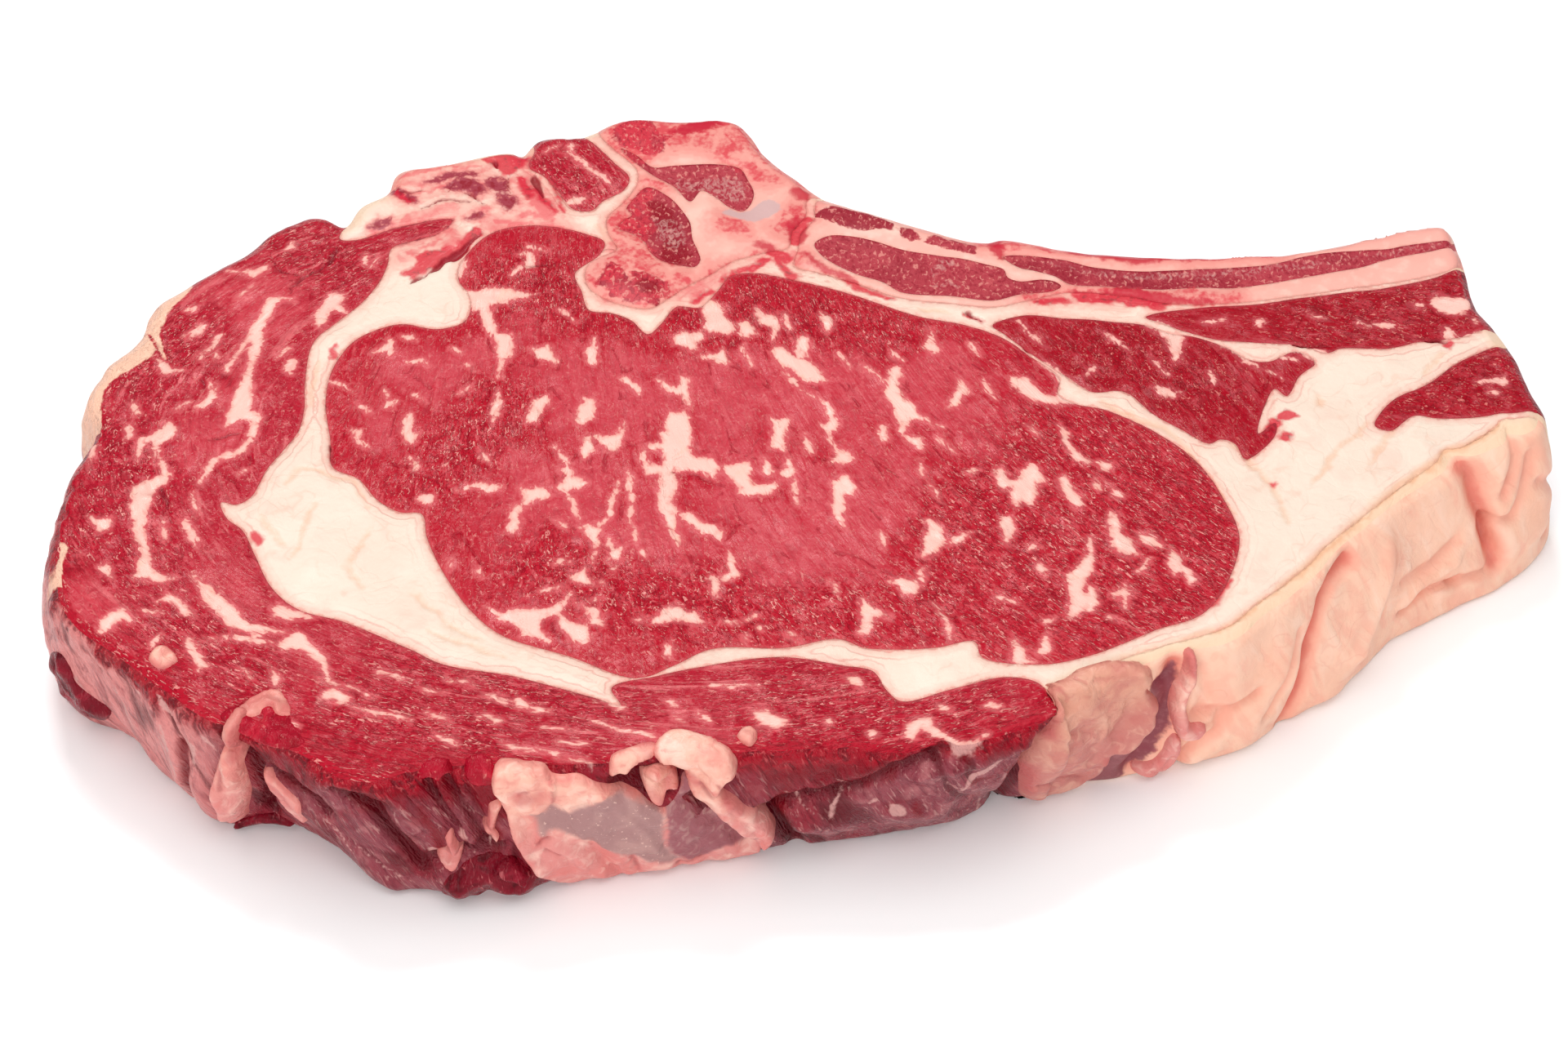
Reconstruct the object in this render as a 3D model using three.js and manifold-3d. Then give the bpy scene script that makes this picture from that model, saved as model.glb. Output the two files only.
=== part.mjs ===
// A raw bone-in rib steak, lying on its cut face: the eye muscle, the cap muscle curled round it, the smaller
// muscles beside the rib, the rib with its neck, the piece of chine bone, the seam fat and the outer fat cap.
// Every muscle, bone and fat runs through the whole thickness of the slice.
// Millimetres, +Z up. The outlines are drawn as seen from above, X along the rib and Y towards the backbone.

import * as THREE from 'three';
import { mergeVertices } from 'three/addons/utils/BufferGeometryUtils.js';
import Module from 'manifold-3d';

const wasm = await Module();
wasm.setup();

// Driving dimensions
const thickness = 30;
const wallBulge = 1.5; // how far the cut edge swells at mid height
const rimRound = 2.2; // height over which the top and bottom edges are rounded
const rimInset = 1.1; // how far they draw in
const normalSpan = 8; // length over which the outward direction of the edge is averaged
const wallStep = 5; // spacing of the columns round the edge
const seamStep = 3.8; // spacing of the points along the seams between the pieces
const wallLevels = [0, 0.07, 0.35, 0.65, 0.93, 1]; // heights of the rings, as shares of the thickness
const lidShare = 1.2; // height of the slice's lid, above the waving cut face, which cuts it off
const gap = 0.3; // clearance between neighbouring pieces
const reliefStep = 9; // spacing of the top surface's grid
const reliefDepth = 0.5; // how far the top surface waves up and down
const reliefWave = { x: 23, y: 19 }; // length of those waves, as the sine's divisor
const reliefSpan = { x: 290, y: 190, reach: 12 }; // block that carries the top surface
const meatCrown = 0.5; // height of each kind of piece above the waving surface
const boneCrown = 0.8;
const marrowCrown = 0.1;
const fatCrown = 0.2;
const foldPoints = 12; // points along each fold of the wall
const bedCentre = { x: 4.85, y: 8.8 }; // middle of the slice's bounding box in the drawing

// The edge of the slice, clockwise from the chine bone. The third number is the lean of the wall:
// how far its foot stands out beyond its top edge there.
const edge = [
  [-38, 81.6, 0], [-31, 85.3, 0], [-20, 85.3, 0], [-9, 85, 0], [-4, 77, 0], [5, 67.5, 0], [12, 63.2, 0],
  [25, 57.7, 0], [36.5, 54.8, 0], [39.5, 55.4, 0], [47, 53.4, 0], [58, 51.4, 0], [72, 50.1, 0], [88, 50.8, 0],
  [104, 53.8, 0], [118.6, 57.1, 0], [120.3, 55.5, 0], [121.8, 48.5, 0], [122.9, 38, 2], [125.2, 33.5, 2],
  [127.5, 27, 3], [129.5, 18, 4], [131.3, 12.5, 5], [130.3, 9.3, 6], [124, 6, 9], [113, -0.8, 9],
  [101, -10.7, 7], [92, -20.5, 6], [81, -31.5, 4], [74, -37.8, 2.5], [66, -40.2, 2], [56, -43.6, 1],
  [49, -46.3, -1], [45.3, -49.8, -4], [46, -53, -7], [40, -55.5, -8], [30, -59.2, -6], [20, -60.6, -5],
  [6, -60.4, -2.5], [-8, -61, -1], [-22, -62.4, 0.5], [-36, -64.4, 0.5], [-48, -64, 3], [-66, -66, 0],
  [-75, -63.3, -4], [-86, -57.9, -5], [-94, -54, 0], [-103, -47, -1], [-113, -38.7, -3], [-119.7, -32, 0],
  [-122.8, -22, 3], [-122.8, -14, 3.5], [-122, -3, 3], [-118.6, 7.5, 2], [-121, 15.5, 2], [-118.5, 23, 1],
  [-113.2, 30.5, 1], [-112, 37, 1], [-105.5, 44.5, 0], [-97, 51, 0], [-91.5, 57.5, 0], [-85, 61, 0],
  [-79.6, 58.9, 0], [-77, 63.5, 0], [-72.8, 66.5, 0], [-70.5, 72.3, 0], [-62, 74.6, 0], [-50.5, 77, 0],
  [-48.3, 76.3, 0], [-45.5, 79.8, 0],
];

// Folds and clefts pressed into the front wall. Each follows points of x and height; depth is outward.
const wallFolds = [
  { depth: -3.2, width: 4.5, path: [[45.4, 30], [43.5, 22], [41, 12], [40.4, 0]] },
  { depth: -2.4, width: 4, path: [[93, 27], [89.4, 24], [87.5, 17], [85.3, 8]] },
  { depth: -2.6, width: 4, path: [[115.7, 29], [118, 21], [120, 14], [120.2, 3]] },
  { depth: 2, width: 7, path: [[97, 22], [93, 12], [91, 4]] },
  { depth: -2.2, width: 4.5, path: [[103, 8], [111, 9], [120, 6]] },
  { depth: -2, width: 5, path: [[-82, 20], [-79, 10], [-76, 2]] },
  { depth: 1.8, width: 6, path: [[-72, 24], [-66, 14], [-60, 5]] },
  { depth: -1.6, width: 4, path: [[-66, 26], [-60, 20], [-56, 10]] },
  { depth: 2, width: 5, path: [[-56, 13], [-50, 7], [-44, 3]] },
];

// The outlines of the pieces in the plane of the cut. Where one reaches the edge it runs on outside it.
const eyeOutline = [
  [-55.5, 37.5], [-56.5, 33.8], [-61, 32], [-68, 33], [-75, 29.5], [-78.7, 23], [-79.5, 15], [-78, 6],
  [-77, -0.5], [-72.5, -3], [-69, -7.5], [-65, -10.2], [-61.3, -10.6], [-60, -16], [-56.5, -24],
  [-51.5, -32], [-46, -37], [-35, -41.5], [-24, -46], [-18, -43.3], [-12, -39.7], [0, -39.3], [9, -37.4],
  [13.5, -39.2], [25, -39.2], [31.3, -38], [32.5, -41.2], [43, -42.7], [51, -40.7], [61, -36],
  [69, -32.5], [74, -25], [76.6, -15.5], [74.5, -7], [70.5, 1], [64.5, 7], [56, 12.5], [50.5, 14],
  [47.6, 16.2], [48, 20], [43.5, 25], [38, 30], [32, 32.8], [24, 35], [14, 39.7], [3, 43.5],
  [-5, 45.6], [-9.5, 44.7], [-12, 41], [-15, 37.2], [-19, 37.3], [-21.5, 33.5], [-24, 30.8],
  [-27, 34], [-31, 36], [-34.5, 36.5], [-36, 41], [-37.3, 45.5], [-33, 50], [-32.3, 53], [-36, 55.3],
  [-46, 57.3], [-52.5, 55.3], [-57.8, 48], [-58, 43.5], [-56.2, 40.5],
];
const capOutline = [
  [-79.6, 66], [-79.6, 59.5], [-80.2, 54.8], [-77, 54.5], [-70, 57], [-60, 58.7], [-62, 55.5], [-66, 54],
  [-70.5, 52], [-71, 48], [-72, 44], [-75, 38.5], [-79, 33.5], [-82.7, 28.5], [-83.4, 19], [-83, 13],
  [-83.6, 8], [-85.5, 4], [-88, -0.5], [-90.5, -7.5], [-92.8, -9], [-95.3, -8.5], [-94, -12],
  [-91, -14.8], [-88.5, -20], [-85, -27], [-80.5, -31.2], [-72, -34.2], [-62, -39.5], [-56, -43],
  [-43, -46], [-31, -50], [-26.5, -51.5], [-28, -48], [-20, -45.3], [-10, -42.7], [0, -41.3], [10, -43],
  [14.5, -44], [16.8, -48], [19, -50], [28, -47.5], [36, -45.3], [41, -46.5], [45, -50.3], [49, -54],
  [50, -70], [20, -80], [-40, -85], [-100, -70], [-140, -35], [-140, 25], [-118, 52], [-95, 75],
];
const sideOutline = [
  [36.8, 32.8], [42, 35.2], [50, 34.7], [58, 34], [64, 33], [68, 31], [72, 30.2], [77, 28], [81.5, 24.7],
  [85, 24.2], [90, 26.5], [93, 24], [90, 21], [87.3, 16.3], [85.5, 18], [83.5, 14.5], [81.7, 7.5],
  [84.8, 10], [84.5, 7], [79, 1.7], [77.5, 5], [75, 6], [73, 5], [68, 8.5], [64, 11.5], [59, 17],
  [53.5, 16.8], [49, 20.5], [42.5, 26.8], [38.8, 30.6],
];
const ribMuscleOutline = [
  [64, 35], [72, 36.9], [84, 37.8], [92, 39.3], [100, 40.6], [108, 42], [116, 44], [121.5, 46.6],
  [130, 48], [133, 40], [130, 33], [124.8, 32.2], [120, 30.2], [112, 28.9], [106, 27.2], [98, 27.3],
  [95, 26.2], [91, 28], [84, 28.5], [76, 29.6], [70, 31.8], [66.5, 33.6],
];
const flankOutline = [
  [102, 9.5], [104.5, 8.3], [109, 11.8], [113, 11.3], [121, 11.7], [130, 12.8], [140, 15], [140, 28],
  [128, 28.5], [125, 27.7], [118, 24], [112, 19], [106.5, 16], [103.3, 12.5],
];
const backOutline = [
  [-47.5, 84], [-46.2, 78], [-46.8, 72.5], [-44, 70], [-41, 65.5], [-38, 61.2], [-34.8, 61], [-33, 63.3],
  [-29, 66.5], [-28.3, 69.5], [-31, 73], [-35, 78.5], [-37, 81], [-38, 88],
];
const chineOutline = [
  [-35, 95], [-34.5, 82.3], [-31.5, 77], [-27, 71.5], [-26.8, 68], [-29, 63.5], [-32, 59], [-31.5, 54.5],
  [-30, 51.2], [-35, 47.8], [-35.2, 42.8], [-32, 39.4], [-24, 36.8], [-20.5, 39.3], [-17.5, 42],
  [-13, 45.2], [-9, 48.5], [-3, 50.8], [0.8, 52], [1.5, 56], [4, 60], [4.6, 64.5], [8, 67], [12, 74],
  [0, 90],
];
const chineMarrowOutline = [
  [-30, 77], [-27, 75], [-24, 72], [-20, 72.5], [-12, 73], [-8, 72], [-6.5, 69], [-5.5, 66], [-6, 63],
  [-7.5, 61], [-10, 62], [-12, 64], [-15, 66], [-17, 63.2], [-20, 67], [-24, 70], [-28, 74],
];
const jointMarrowOutline = [
  [-25, 67], [-21, 64.5], [-18.5, 61], [-17, 58], [-16.5, 54], [-15.5, 51], [-15, 48.5], [-16, 47],
  [-19, 47.5], [-22, 48.5], [-24, 50.5], [-25, 53], [-27, 55], [-30, 56.5], [-29, 58.5], [-27.5, 60],
  [-28.6, 61.5], [-28, 63],
];
const ribOutline = [
  [2.6, 52], [2, 47.5], [6, 45.8], [13, 43.2], [21, 39.8], [29, 38.3], [37, 37.4], [44, 39.2], [50, 40.9],
  [60, 40.3], [68, 38.3], [76, 37.9], [84, 38.6], [92, 40], [100, 41.5], [106, 42.7], [112, 43.8],
  [118, 45.4], [122, 47.5], [130, 51], [128, 70], [80, 64], [40, 68], [14, 76], [9, 67.2], [6.2, 64],
  [5.6, 59.5], [3.2, 55.6],
];
const shaftMarrowOutline = [
  [39.5, 50.5], [50, 49.7], [56, 47.5], [64, 46.5], [76, 46.8], [86, 47.5], [92, 49.5], [98, 50.8],
  [106, 51], [114, 52.5], [120, 53.5], [126, 54.6], [126, 52.8], [120.2, 51.8], [115, 50.3], [109, 49],
  [104, 47], [98, 45.5], [92, 44], [85, 42.5], [80, 41.8], [74, 42], [66, 41.7], [58, 42.5], [51, 43],
  [48.5, 45], [45, 46.5], [42, 47.5],
];
const neckMarrowOutline = [
  [5.5, 53], [8, 55], [12, 55], [17, 53.5], [22, 51.5], [28, 50.5], [32, 50], [36, 48.5], [39.3, 47],
  [40, 44.7], [42, 43.8], [46, 44.3], [48.5, 43.6], [49.4, 42.5], [48, 41.4], [42, 40.5], [37, 38.9],
  [30, 39.9], [21, 41.2], [18, 43.5], [13, 45.5], [9, 48], [6.5, 50.5],
];
const fatCapOutline = [
  [47, -49], [56, -42], [66, -38.5], [73, -35.5], [80, -29.5], [88, -22], [100, -10], [110, -1],
  [120, 6.5], [125, 10.2], [130, 11.2], [140, 11.5], [150, 0], [110, -45], [80, -62], [54, -62], [50, -52],
];

// Scraps of fat and skin that hang on the front wall, drawn as x and height on that wall
const sheetOutline = [
  [-47.5, 29.5], [-47, 22], [-45.5, 16], [-43, 9], [-37, 1.5], [-27, 0.8], [-17, 0.8], [-8, 1.2],
  [-3.2, 3], [-5, 10], [-10, 21], [-13, 27], [-20, 29], [-27, 29.5], [-36, 30.2],
];
const rollOutline = [
  [-28.5, 29.8], [-24, 28.3], [-20.5, 30.2], [-14, 30.6], [-8, 30], [-6.6, 27], [-9.5, 21.5], [-5, 14],
  [-0.8, 8], [-3.2, 5.2], [-8.5, 11], [-14, 19.5], [-15.5, 24.6], [-20, 24.6], [-25, 24.5],
];
const tagOutline = [
  [-90.6, 28], [-93.2, 18], [-95.2, 8], [-93, 1.2], [-89.4, 1.5], [-88, 8], [-87.6, 16], [-85.8, 22],
  [-85.8, 28],
];
const flapOutline = [
  [46.2, 29], [51, 30], [58.5, 29], [61.6, 24], [60.6, 17], [57, 11.5], [53, 4], [47.5, 2.5], [43, 8],
  [42.6, 17], [44.4, 24],
];

// Points along a closed smooth curve through the knots, about one every step
function closedCurve(knots, step) {
  const points = knots.map(([x, y, lean = 0]) => new THREE.Vector3(x, y, lean));
  const curve = new THREE.CatmullRomCurve3(points, true, 'centripetal');
  const samples = [];
  points.forEach((point, index) => {
    const next = points[(index + 1) % points.length];
    const flat = Math.hypot(next.x - point.x, next.y - point.y);
    const count = Math.max(1, Math.round(flat / step));
    for (let part = 0; part < count; part += 1) {
      samples.push(curve.getPoint((index + part / count) / points.length));
    }
  });
  return samples;
}

// Sideways vector at each point of a closed outline: outward where the outline runs anticlockwise
function sideVectors(samples) {
  const count = samples.length;
  return samples.map((point, index) => {
    const before = samples[(index + count - 1) % count];
    const after = samples[(index + 1) % count];
    return new THREE.Vector2(after.y - before.y, before.x - after.x);
  });
}

// Unit outward direction at each point of the edge, averaged over the points within a span of it
function outwardDirections(samples, span) {
  const sides = sideVectors(samples);
  return samples.map((point) => {
    const direction = new THREE.Vector2();
    samples.forEach((other, index) => {
      if (Math.hypot(other.x - point.x, other.y - point.y) < span) direction.add(sides[index]);
    });
    return direction.normalize();
  });
}

// An outline moved outwards by a distance
function grownOutline(samples, distance) {
  const growth = Math.sign(THREE.ShapeUtils.area(samples)) * distance;
  return sideVectors(samples).map((side, index) => {
    side.setLength(1).multiplyScalar(growth);
    return new THREE.Vector2(samples[index].x + side.x, samples[index].y + side.y);
  });
}

function solidOf(geometry) {
  const bare = geometry.clone();
  bare.deleteAttribute('normal');
  bare.deleteAttribute('uv');
  const merged = mergeVertices(bare, 1e-4);
  const mesh = new wasm.Mesh({
    numProp: 3,
    vertProperties: new Float32Array(merged.attributes.position.array),
    triVerts: new Uint32Array(merged.index.array),
  });
  return new wasm.Manifold(mesh);
}

function geometryOf(solid) {
  const { vertProperties, triVerts } = solid.getMesh();
  const geometry = new THREE.BufferGeometry();
  geometry.setAttribute('position', new THREE.BufferAttribute(new Float32Array(vertProperties), 3));
  geometry.setIndex(new THREE.BufferAttribute(new Uint32Array(triVerts), 1));
  return geometry;
}

const edgeSamples = closedCurve(edge, wallStep).reverse();
const edgeOut = outwardDirections(edgeSamples, normalSpan);

// Nearest point of the front edge for an x, used to lay the folds on the wall
function frontPoint(x) {
  const front = edgeSamples.filter((point, index) => edgeOut[index].y < 0.2);
  return front.reduce((best, point) => (Math.abs(point.x - x) < Math.abs(best.x - x) ? point : best));
}

const foldPaths = wallFolds.map(({ depth, width, path }) => {
  const knots = path.map(([x, z]) => new THREE.Vector3(frontPoint(x).x, frontPoint(x).y, z));
  return { depth, width, points: new THREE.CatmullRomCurve3(knots).getPoints(foldPoints) };
});

function foldDepth(point, height) {
  const place = new THREE.Vector3(point.x, point.y, height);
  return foldPaths.reduce((sum, { depth, width, points }) => {
    const distance = Math.min(...points.map((step) => step.distanceTo(place)));
    return sum + depth * Math.exp(-((distance / width) ** 2) * 2);
  }, 0);
}

// How far the wall stands out from the drawn edge at a share of its height
function wallOffset(point, share) {
  const height = share * thickness;
  const fromRim = Math.min(height, thickness - height) / rimRound;
  const rounding = fromRim < 1 ? rimInset * (1 - Math.sqrt(1 - (1 - fromRim) ** 2)) : 0;
  const bulge = wallBulge * Math.sin(Math.PI * share);
  return point.z * (1 - share) + bulge - rounding + foldDepth(point, height);
}

// The whole slice, its wall grown outwards by a distance, with its flat lid above the relief
function slice(growth) {
  const rings = [...wallLevels, lidShare].map((share) => edgeSamples.map((point, index) => {
    const offset = wallOffset(point, Math.min(share, 1)) + growth;
    const { x, y } = edgeOut[index];
    return new THREE.Vector3(point.x + x * offset, point.y + y * offset, share * thickness);
  }));
  const count = edgeSamples.length;
  const faces = [];
  for (let level = 0; level + 1 < rings.length; level += 1) {
    for (let column = 0; column < count; column += 1) {
      const low = level * count + column;
      const lowNext = level * count + ((column + 1) % count);
      faces.push(low, lowNext, low + count);
      faces.push(lowNext, lowNext + count, low + count);
    }
  }
  const lid = (rings.length - 1) * count;
  THREE.ShapeUtils.triangulateShape(rings[0], []).forEach(([a, b, c]) => faces.push(a, c, b));
  THREE.ShapeUtils.triangulateShape(rings.at(-1), []).forEach(([a, b, c]) => {
    faces.push(lid + a, lid + b, lid + c);
  });
  const geometry = new THREE.BufferGeometry().setFromPoints(rings.flat());
  geometry.setIndex(faces);
  return solidOf(geometry);
}

// An upright prism over an outline
function prism(samples) {
  const shape = new THREE.Shape(samples.map((point) => new THREE.Vector2(point.x, point.y)));
  const height = thickness + 2 * reliefSpan.reach;
  const geometry = new THREE.ExtrudeGeometry(shape, { depth: height, bevelEnabled: false });
  geometry.translate(0, 0, -reliefSpan.reach);
  return solidOf(geometry);
}

// A block whose top is the gently waving cut face, raised by a crown
function reliefBlock(crown) {
  const { x, y, reach } = reliefSpan;
  const height = thickness + crown + reach;
  const columns = Math.round(x / reliefStep);
  const rows = Math.round(y / reliefStep);
  const geometry = new THREE.BoxGeometry(x, y, height, columns, rows, 1);
  geometry.translate(bedCentre.x, bedCentre.y, height / 2 - reach);
  const { position } = geometry.attributes;
  for (let index = 0; index < position.count; index += 1) {
    if (position.getZ(index) > thickness / 2) {
      const wave = Math.sin(position.getX(index) / reliefWave.x) * Math.cos(position.getY(index) / reliefWave.y);
      position.setZ(index, thickness + crown + reliefDepth * wave);
    }
  }
  return solidOf(geometry);
}

// A prism that runs out through the front wall, over an outline drawn as x and height on it
function wallPrism(samples) {
  const shape = new THREE.Shape(samples.map((point) => new THREE.Vector2(point.x, point.y)));
  const geometry = new THREE.ExtrudeGeometry(shape, { depth: reliefSpan.y / 2, bevelEnabled: false });
  geometry.rotateX(Math.PI / 2);
  return solidOf(geometry);
}

const whole = slice(0);
const meatBlock = reliefBlock(meatCrown);
const boneBlock = reliefBlock(boneCrown);
const marrowBlock = reliefBlock(marrowCrown);
const fatBlock = reliefBlock(fatCrown);

const lean = { color: 0xa8283c, roughness: 0.45, metalness: 0 };
const darkLean = { color: 0x9c1f34, roughness: 0.45, metalness: 0 };
const bone = { color: 0xf2d3c4, roughness: 0.55, metalness: 0 };
const marrow = { color: 0x8c2a3c, roughness: 0.7, metalness: 0 };
const creamFat = { color: 0xfbeede, roughness: 0.5, metalness: 0 };
const peachFat = { color: 0xf6c6a4, roughness: 0.5, metalness: 0 };
const pinkFat = { color: 0xf0c0ae, roughness: 0.5, metalness: 0 };

// The pieces that reach through the slice, and those set inside another one
const throughPieces = [
  { name: 'eye_muscle', outline: eyeOutline, block: meatBlock, finish: lean },
  { name: 'cap_muscle', outline: capOutline, block: meatBlock, finish: lean },
  { name: 'side_muscle', outline: sideOutline, block: meatBlock, finish: darkLean },
  { name: 'rib_muscle', outline: ribMuscleOutline, block: meatBlock, finish: darkLean },
  { name: 'flank_muscle', outline: flankOutline, block: meatBlock, finish: darkLean },
  { name: 'back_muscle', outline: backOutline, block: meatBlock, finish: darkLean },
  { name: 'chine_bone', outline: chineOutline, block: boneBlock, finish: bone },
  { name: 'rib_bone', outline: ribOutline, block: boneBlock, finish: bone },
  { name: 'fat_cap', outline: fatCapOutline, block: fatBlock, finish: peachFat },
];
const cores = [
  { name: 'chine_marrow', outline: chineMarrowOutline, inside: 'chine_bone' },
  { name: 'joint_marrow', outline: jointMarrowOutline, inside: 'chine_bone' },
  { name: 'rib_marrow', outline: shaftMarrowOutline, inside: 'rib_bone' },
  { name: 'neck_marrow', outline: neckMarrowOutline, inside: 'rib_bone' },
];
const scraps = [
  { name: 'front_fat_roll', outline: rollOutline, depth: 3.2, finish: peachFat },
  { name: 'front_fat_sheet', outline: sheetOutline, depth: 1.4, finish: pinkFat, notched: true },
  { name: 'left_fat_tag', outline: tagOutline, depth: 3.4, finish: pinkFat },
  { name: 'right_fat_flap', outline: flapOutline, depth: 3, finish: pinkFat },
];

const group = new THREE.Group();
group.position.set(-bedCentre.x, -bedCentre.y, 0);

function addPiece(name, solid, finish) {
  const mesh = new THREE.Mesh(geometryOf(solid), new THREE.MeshStandardMaterial(finish));
  mesh.name = name;
  group.add(mesh);
}

// The largest loose lump of a solid
function mainLump(solid) {
  return solid.decompose().reduce((best, lump) => (lump.volume() > best.volume() ? lump : best));
}

let restOfSlice = whole.intersect(fatBlock);
throughPieces.forEach(({ name, outline, block, finish }) => {
  const samples = closedCurve(outline, seamStep);
  let solid = whole.intersect(prism(samples)).intersect(block);
  cores.filter((core) => core.inside === name).forEach((core) => {
    solid = solid.subtract(prism(grownOutline(closedCurve(core.outline, seamStep), gap)));
  });
  restOfSlice = restOfSlice.subtract(prism(grownOutline(samples, gap)));
  addPiece(name, mainLump(solid), finish);
});
cores.forEach(({ name, outline }) => {
  const solid = whole.intersect(prism(closedCurve(outline, seamStep))).intersect(marrowBlock);
  addPiece(name, mainLump(solid), marrow);
});

// What is left between the muscles and bones is fat: the kernel by the cap muscle, and the seams from
// the backbone to the fat cap
const fatLumps = restOfSlice.decompose().sort((one, other) => other.volume() - one.volume());
const [leftLump, rightLump] = fatLumps.slice(0, 2).sort((one, other) => (
  one.boundingBox().min[0] - other.boundingBox().min[0]
));
addPiece('kernel_fat', leftLump, creamFat);
addPiece('seam_fat', rightLump, creamFat);

// The roll lies in a notch of the sheet
const rollNotch = wallPrism(grownOutline(closedCurve(rollOutline, seamStep), gap));
scraps.forEach(({ name, outline, depth, finish, notched }) => {
  const shell = slice(depth).subtract(slice(gap));
  const patch = shell.intersect(wallPrism(closedCurve(outline, seamStep)));
  addPiece(name, mainLump(notched ? patch.subtract(rollNotch) : patch), finish);
});

export default group;
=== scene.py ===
# Raw bone-in rib steak on a pale floor: marbled muscles, seam fat, fat cap, sawn rib and chine bone.
import bpy
import math
import numpy as np
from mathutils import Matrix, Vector
from mathutils.geometry import delaunay_2d_cdt
from mathutils.kdtree import KDTree


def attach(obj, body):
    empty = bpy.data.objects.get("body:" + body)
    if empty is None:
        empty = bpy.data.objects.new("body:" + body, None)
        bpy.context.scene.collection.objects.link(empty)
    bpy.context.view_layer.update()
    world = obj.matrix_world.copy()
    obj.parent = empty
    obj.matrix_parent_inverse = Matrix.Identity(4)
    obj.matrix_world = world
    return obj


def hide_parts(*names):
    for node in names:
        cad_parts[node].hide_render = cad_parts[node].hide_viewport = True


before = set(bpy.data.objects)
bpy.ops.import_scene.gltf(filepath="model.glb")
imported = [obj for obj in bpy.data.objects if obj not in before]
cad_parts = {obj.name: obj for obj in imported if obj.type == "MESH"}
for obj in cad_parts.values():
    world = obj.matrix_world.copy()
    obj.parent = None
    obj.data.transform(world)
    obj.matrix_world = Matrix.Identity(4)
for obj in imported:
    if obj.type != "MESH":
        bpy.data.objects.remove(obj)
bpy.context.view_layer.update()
print("frame loaded:", len(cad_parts), "nodes")

mm = 0.001
farOutside = -4.0  # the least that a field of distances says, in mm
# the drawing below is in millimetres, X along the rib and Y towards the backbone
slab = {
    "thickness": 30.0,
    "centre": (4.85, 8.8),  # middle of the slice in the drawing, which is the frame's origin
    "grid": 0.55,  # spacing of the surface's points
    "gridRow": 0.866,  # distance of the grid's rows, as a share of the spacing
    "shuffle": 0.1,  # how far its points are shifted, as a share of the spacing
    "rows": 44,  # rows of points down the wall
    "bulge": 1.5,  # swell of the wall at mid height
    "round": 2.2,  # height of the rounding at the rim and the foot
    "inset": 1.0,  # how far that rounding goes in
    "rimDrop": 0.9,  # how far the cut face drops at the rim
    "dropReach": 2.4,  # how far in that drop starts
    "rimReach": 10.0,  # how far in the rim's clefts shift the cut face
    "footReach": 26.0,  # how far in the lean of the wall shifts the underside
    "wave": 0.5,  # depth of the slow waves of the cut face
    "waveX": 23.0,
    "waveY": 19.0,
    "crownReach": 2.5,  # how far from its seam a piece takes to rise to its crown
    "crackDepth": 0.8,
    "tanDepth": 0.16,
    "normalSpan": 8.0,  # stretch of the edge that an outward direction is averaged over
    "ceiling": 30.9,  # scraps that rise past this are pressed flatter
    "scrapGrid": (0.4, 0.35),
    "scrapBack": 0.7,  # how deep a scrap's back is sunk into the wall
}

# the edge, clockwise from the chine bone; the third number is how far the wall's foot stands out
edgeKnots = [
    (-38, 81.6, 0), (-31, 85.3, 0), (-20, 85.3, 0), (-9, 85, 0), (-4, 77, 0), (5, 67.5, 0), (12, 63.2, 0),
    (25, 57.7, 0), (36.5, 54.8, 0), (39.5, 55.4, 0), (47, 53.4, 0), (58, 51.4, 0), (72, 50.1, 0),
    (88, 50.8, 0), (104, 53.8, 0), (118.6, 57.1, 0), (120.3, 55.5, 0), (121.8, 48.5, 0), (122.9, 38, 2),
    (125.2, 33.5, 2), (127.5, 27, 3), (129.5, 18, 4), (131.3, 12.5, 5), (130.3, 9.3, 6), (124, 6, 9),
    (113, -0.8, 9), (101, -10.7, 7), (92, -20.5, 6), (81, -31.5, 4), (74, -37.8, 2.5), (66, -40.2, 2),
    (56, -43.6, 1), (49, -46.3, -1), (45.3, -49.8, -4), (46, -53, -7), (40, -55.5, -8), (30, -59.2, -6),
    (20, -60.6, -5), (6, -60.4, -2.5), (-8, -61, -1), (-22, -62.4, 0.5), (-36, -64.4, 0.5), (-48, -64, 3),
    (-66, -66, 0), (-75, -63.3, -4), (-86, -57.9, -5), (-94, -54, 0), (-103, -47, -1), (-113, -38.7, -3),
    (-119.7, -32, 0), (-122.8, -22, 3), (-122.8, -14, 3.5), (-122, -3, 3), (-118.6, 7.5, 2),
    (-121, 15.5, 2), (-118.5, 23, 1), (-113.2, 30.5, 1), (-112, 37, 1), (-105.5, 44.5, 0), (-97, 51, 0),
    (-91.5, 57.5, 0), (-85, 61, 0), (-79.6, 58.9, 0), (-77, 63.5, 0), (-72.8, 66.5, 0), (-70.5, 72.3, 0),
    (-62, 74.6, 0), (-50.5, 77, 0), (-48.3, 76.3, 0), (-45.5, 79.8, 0),
]

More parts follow.
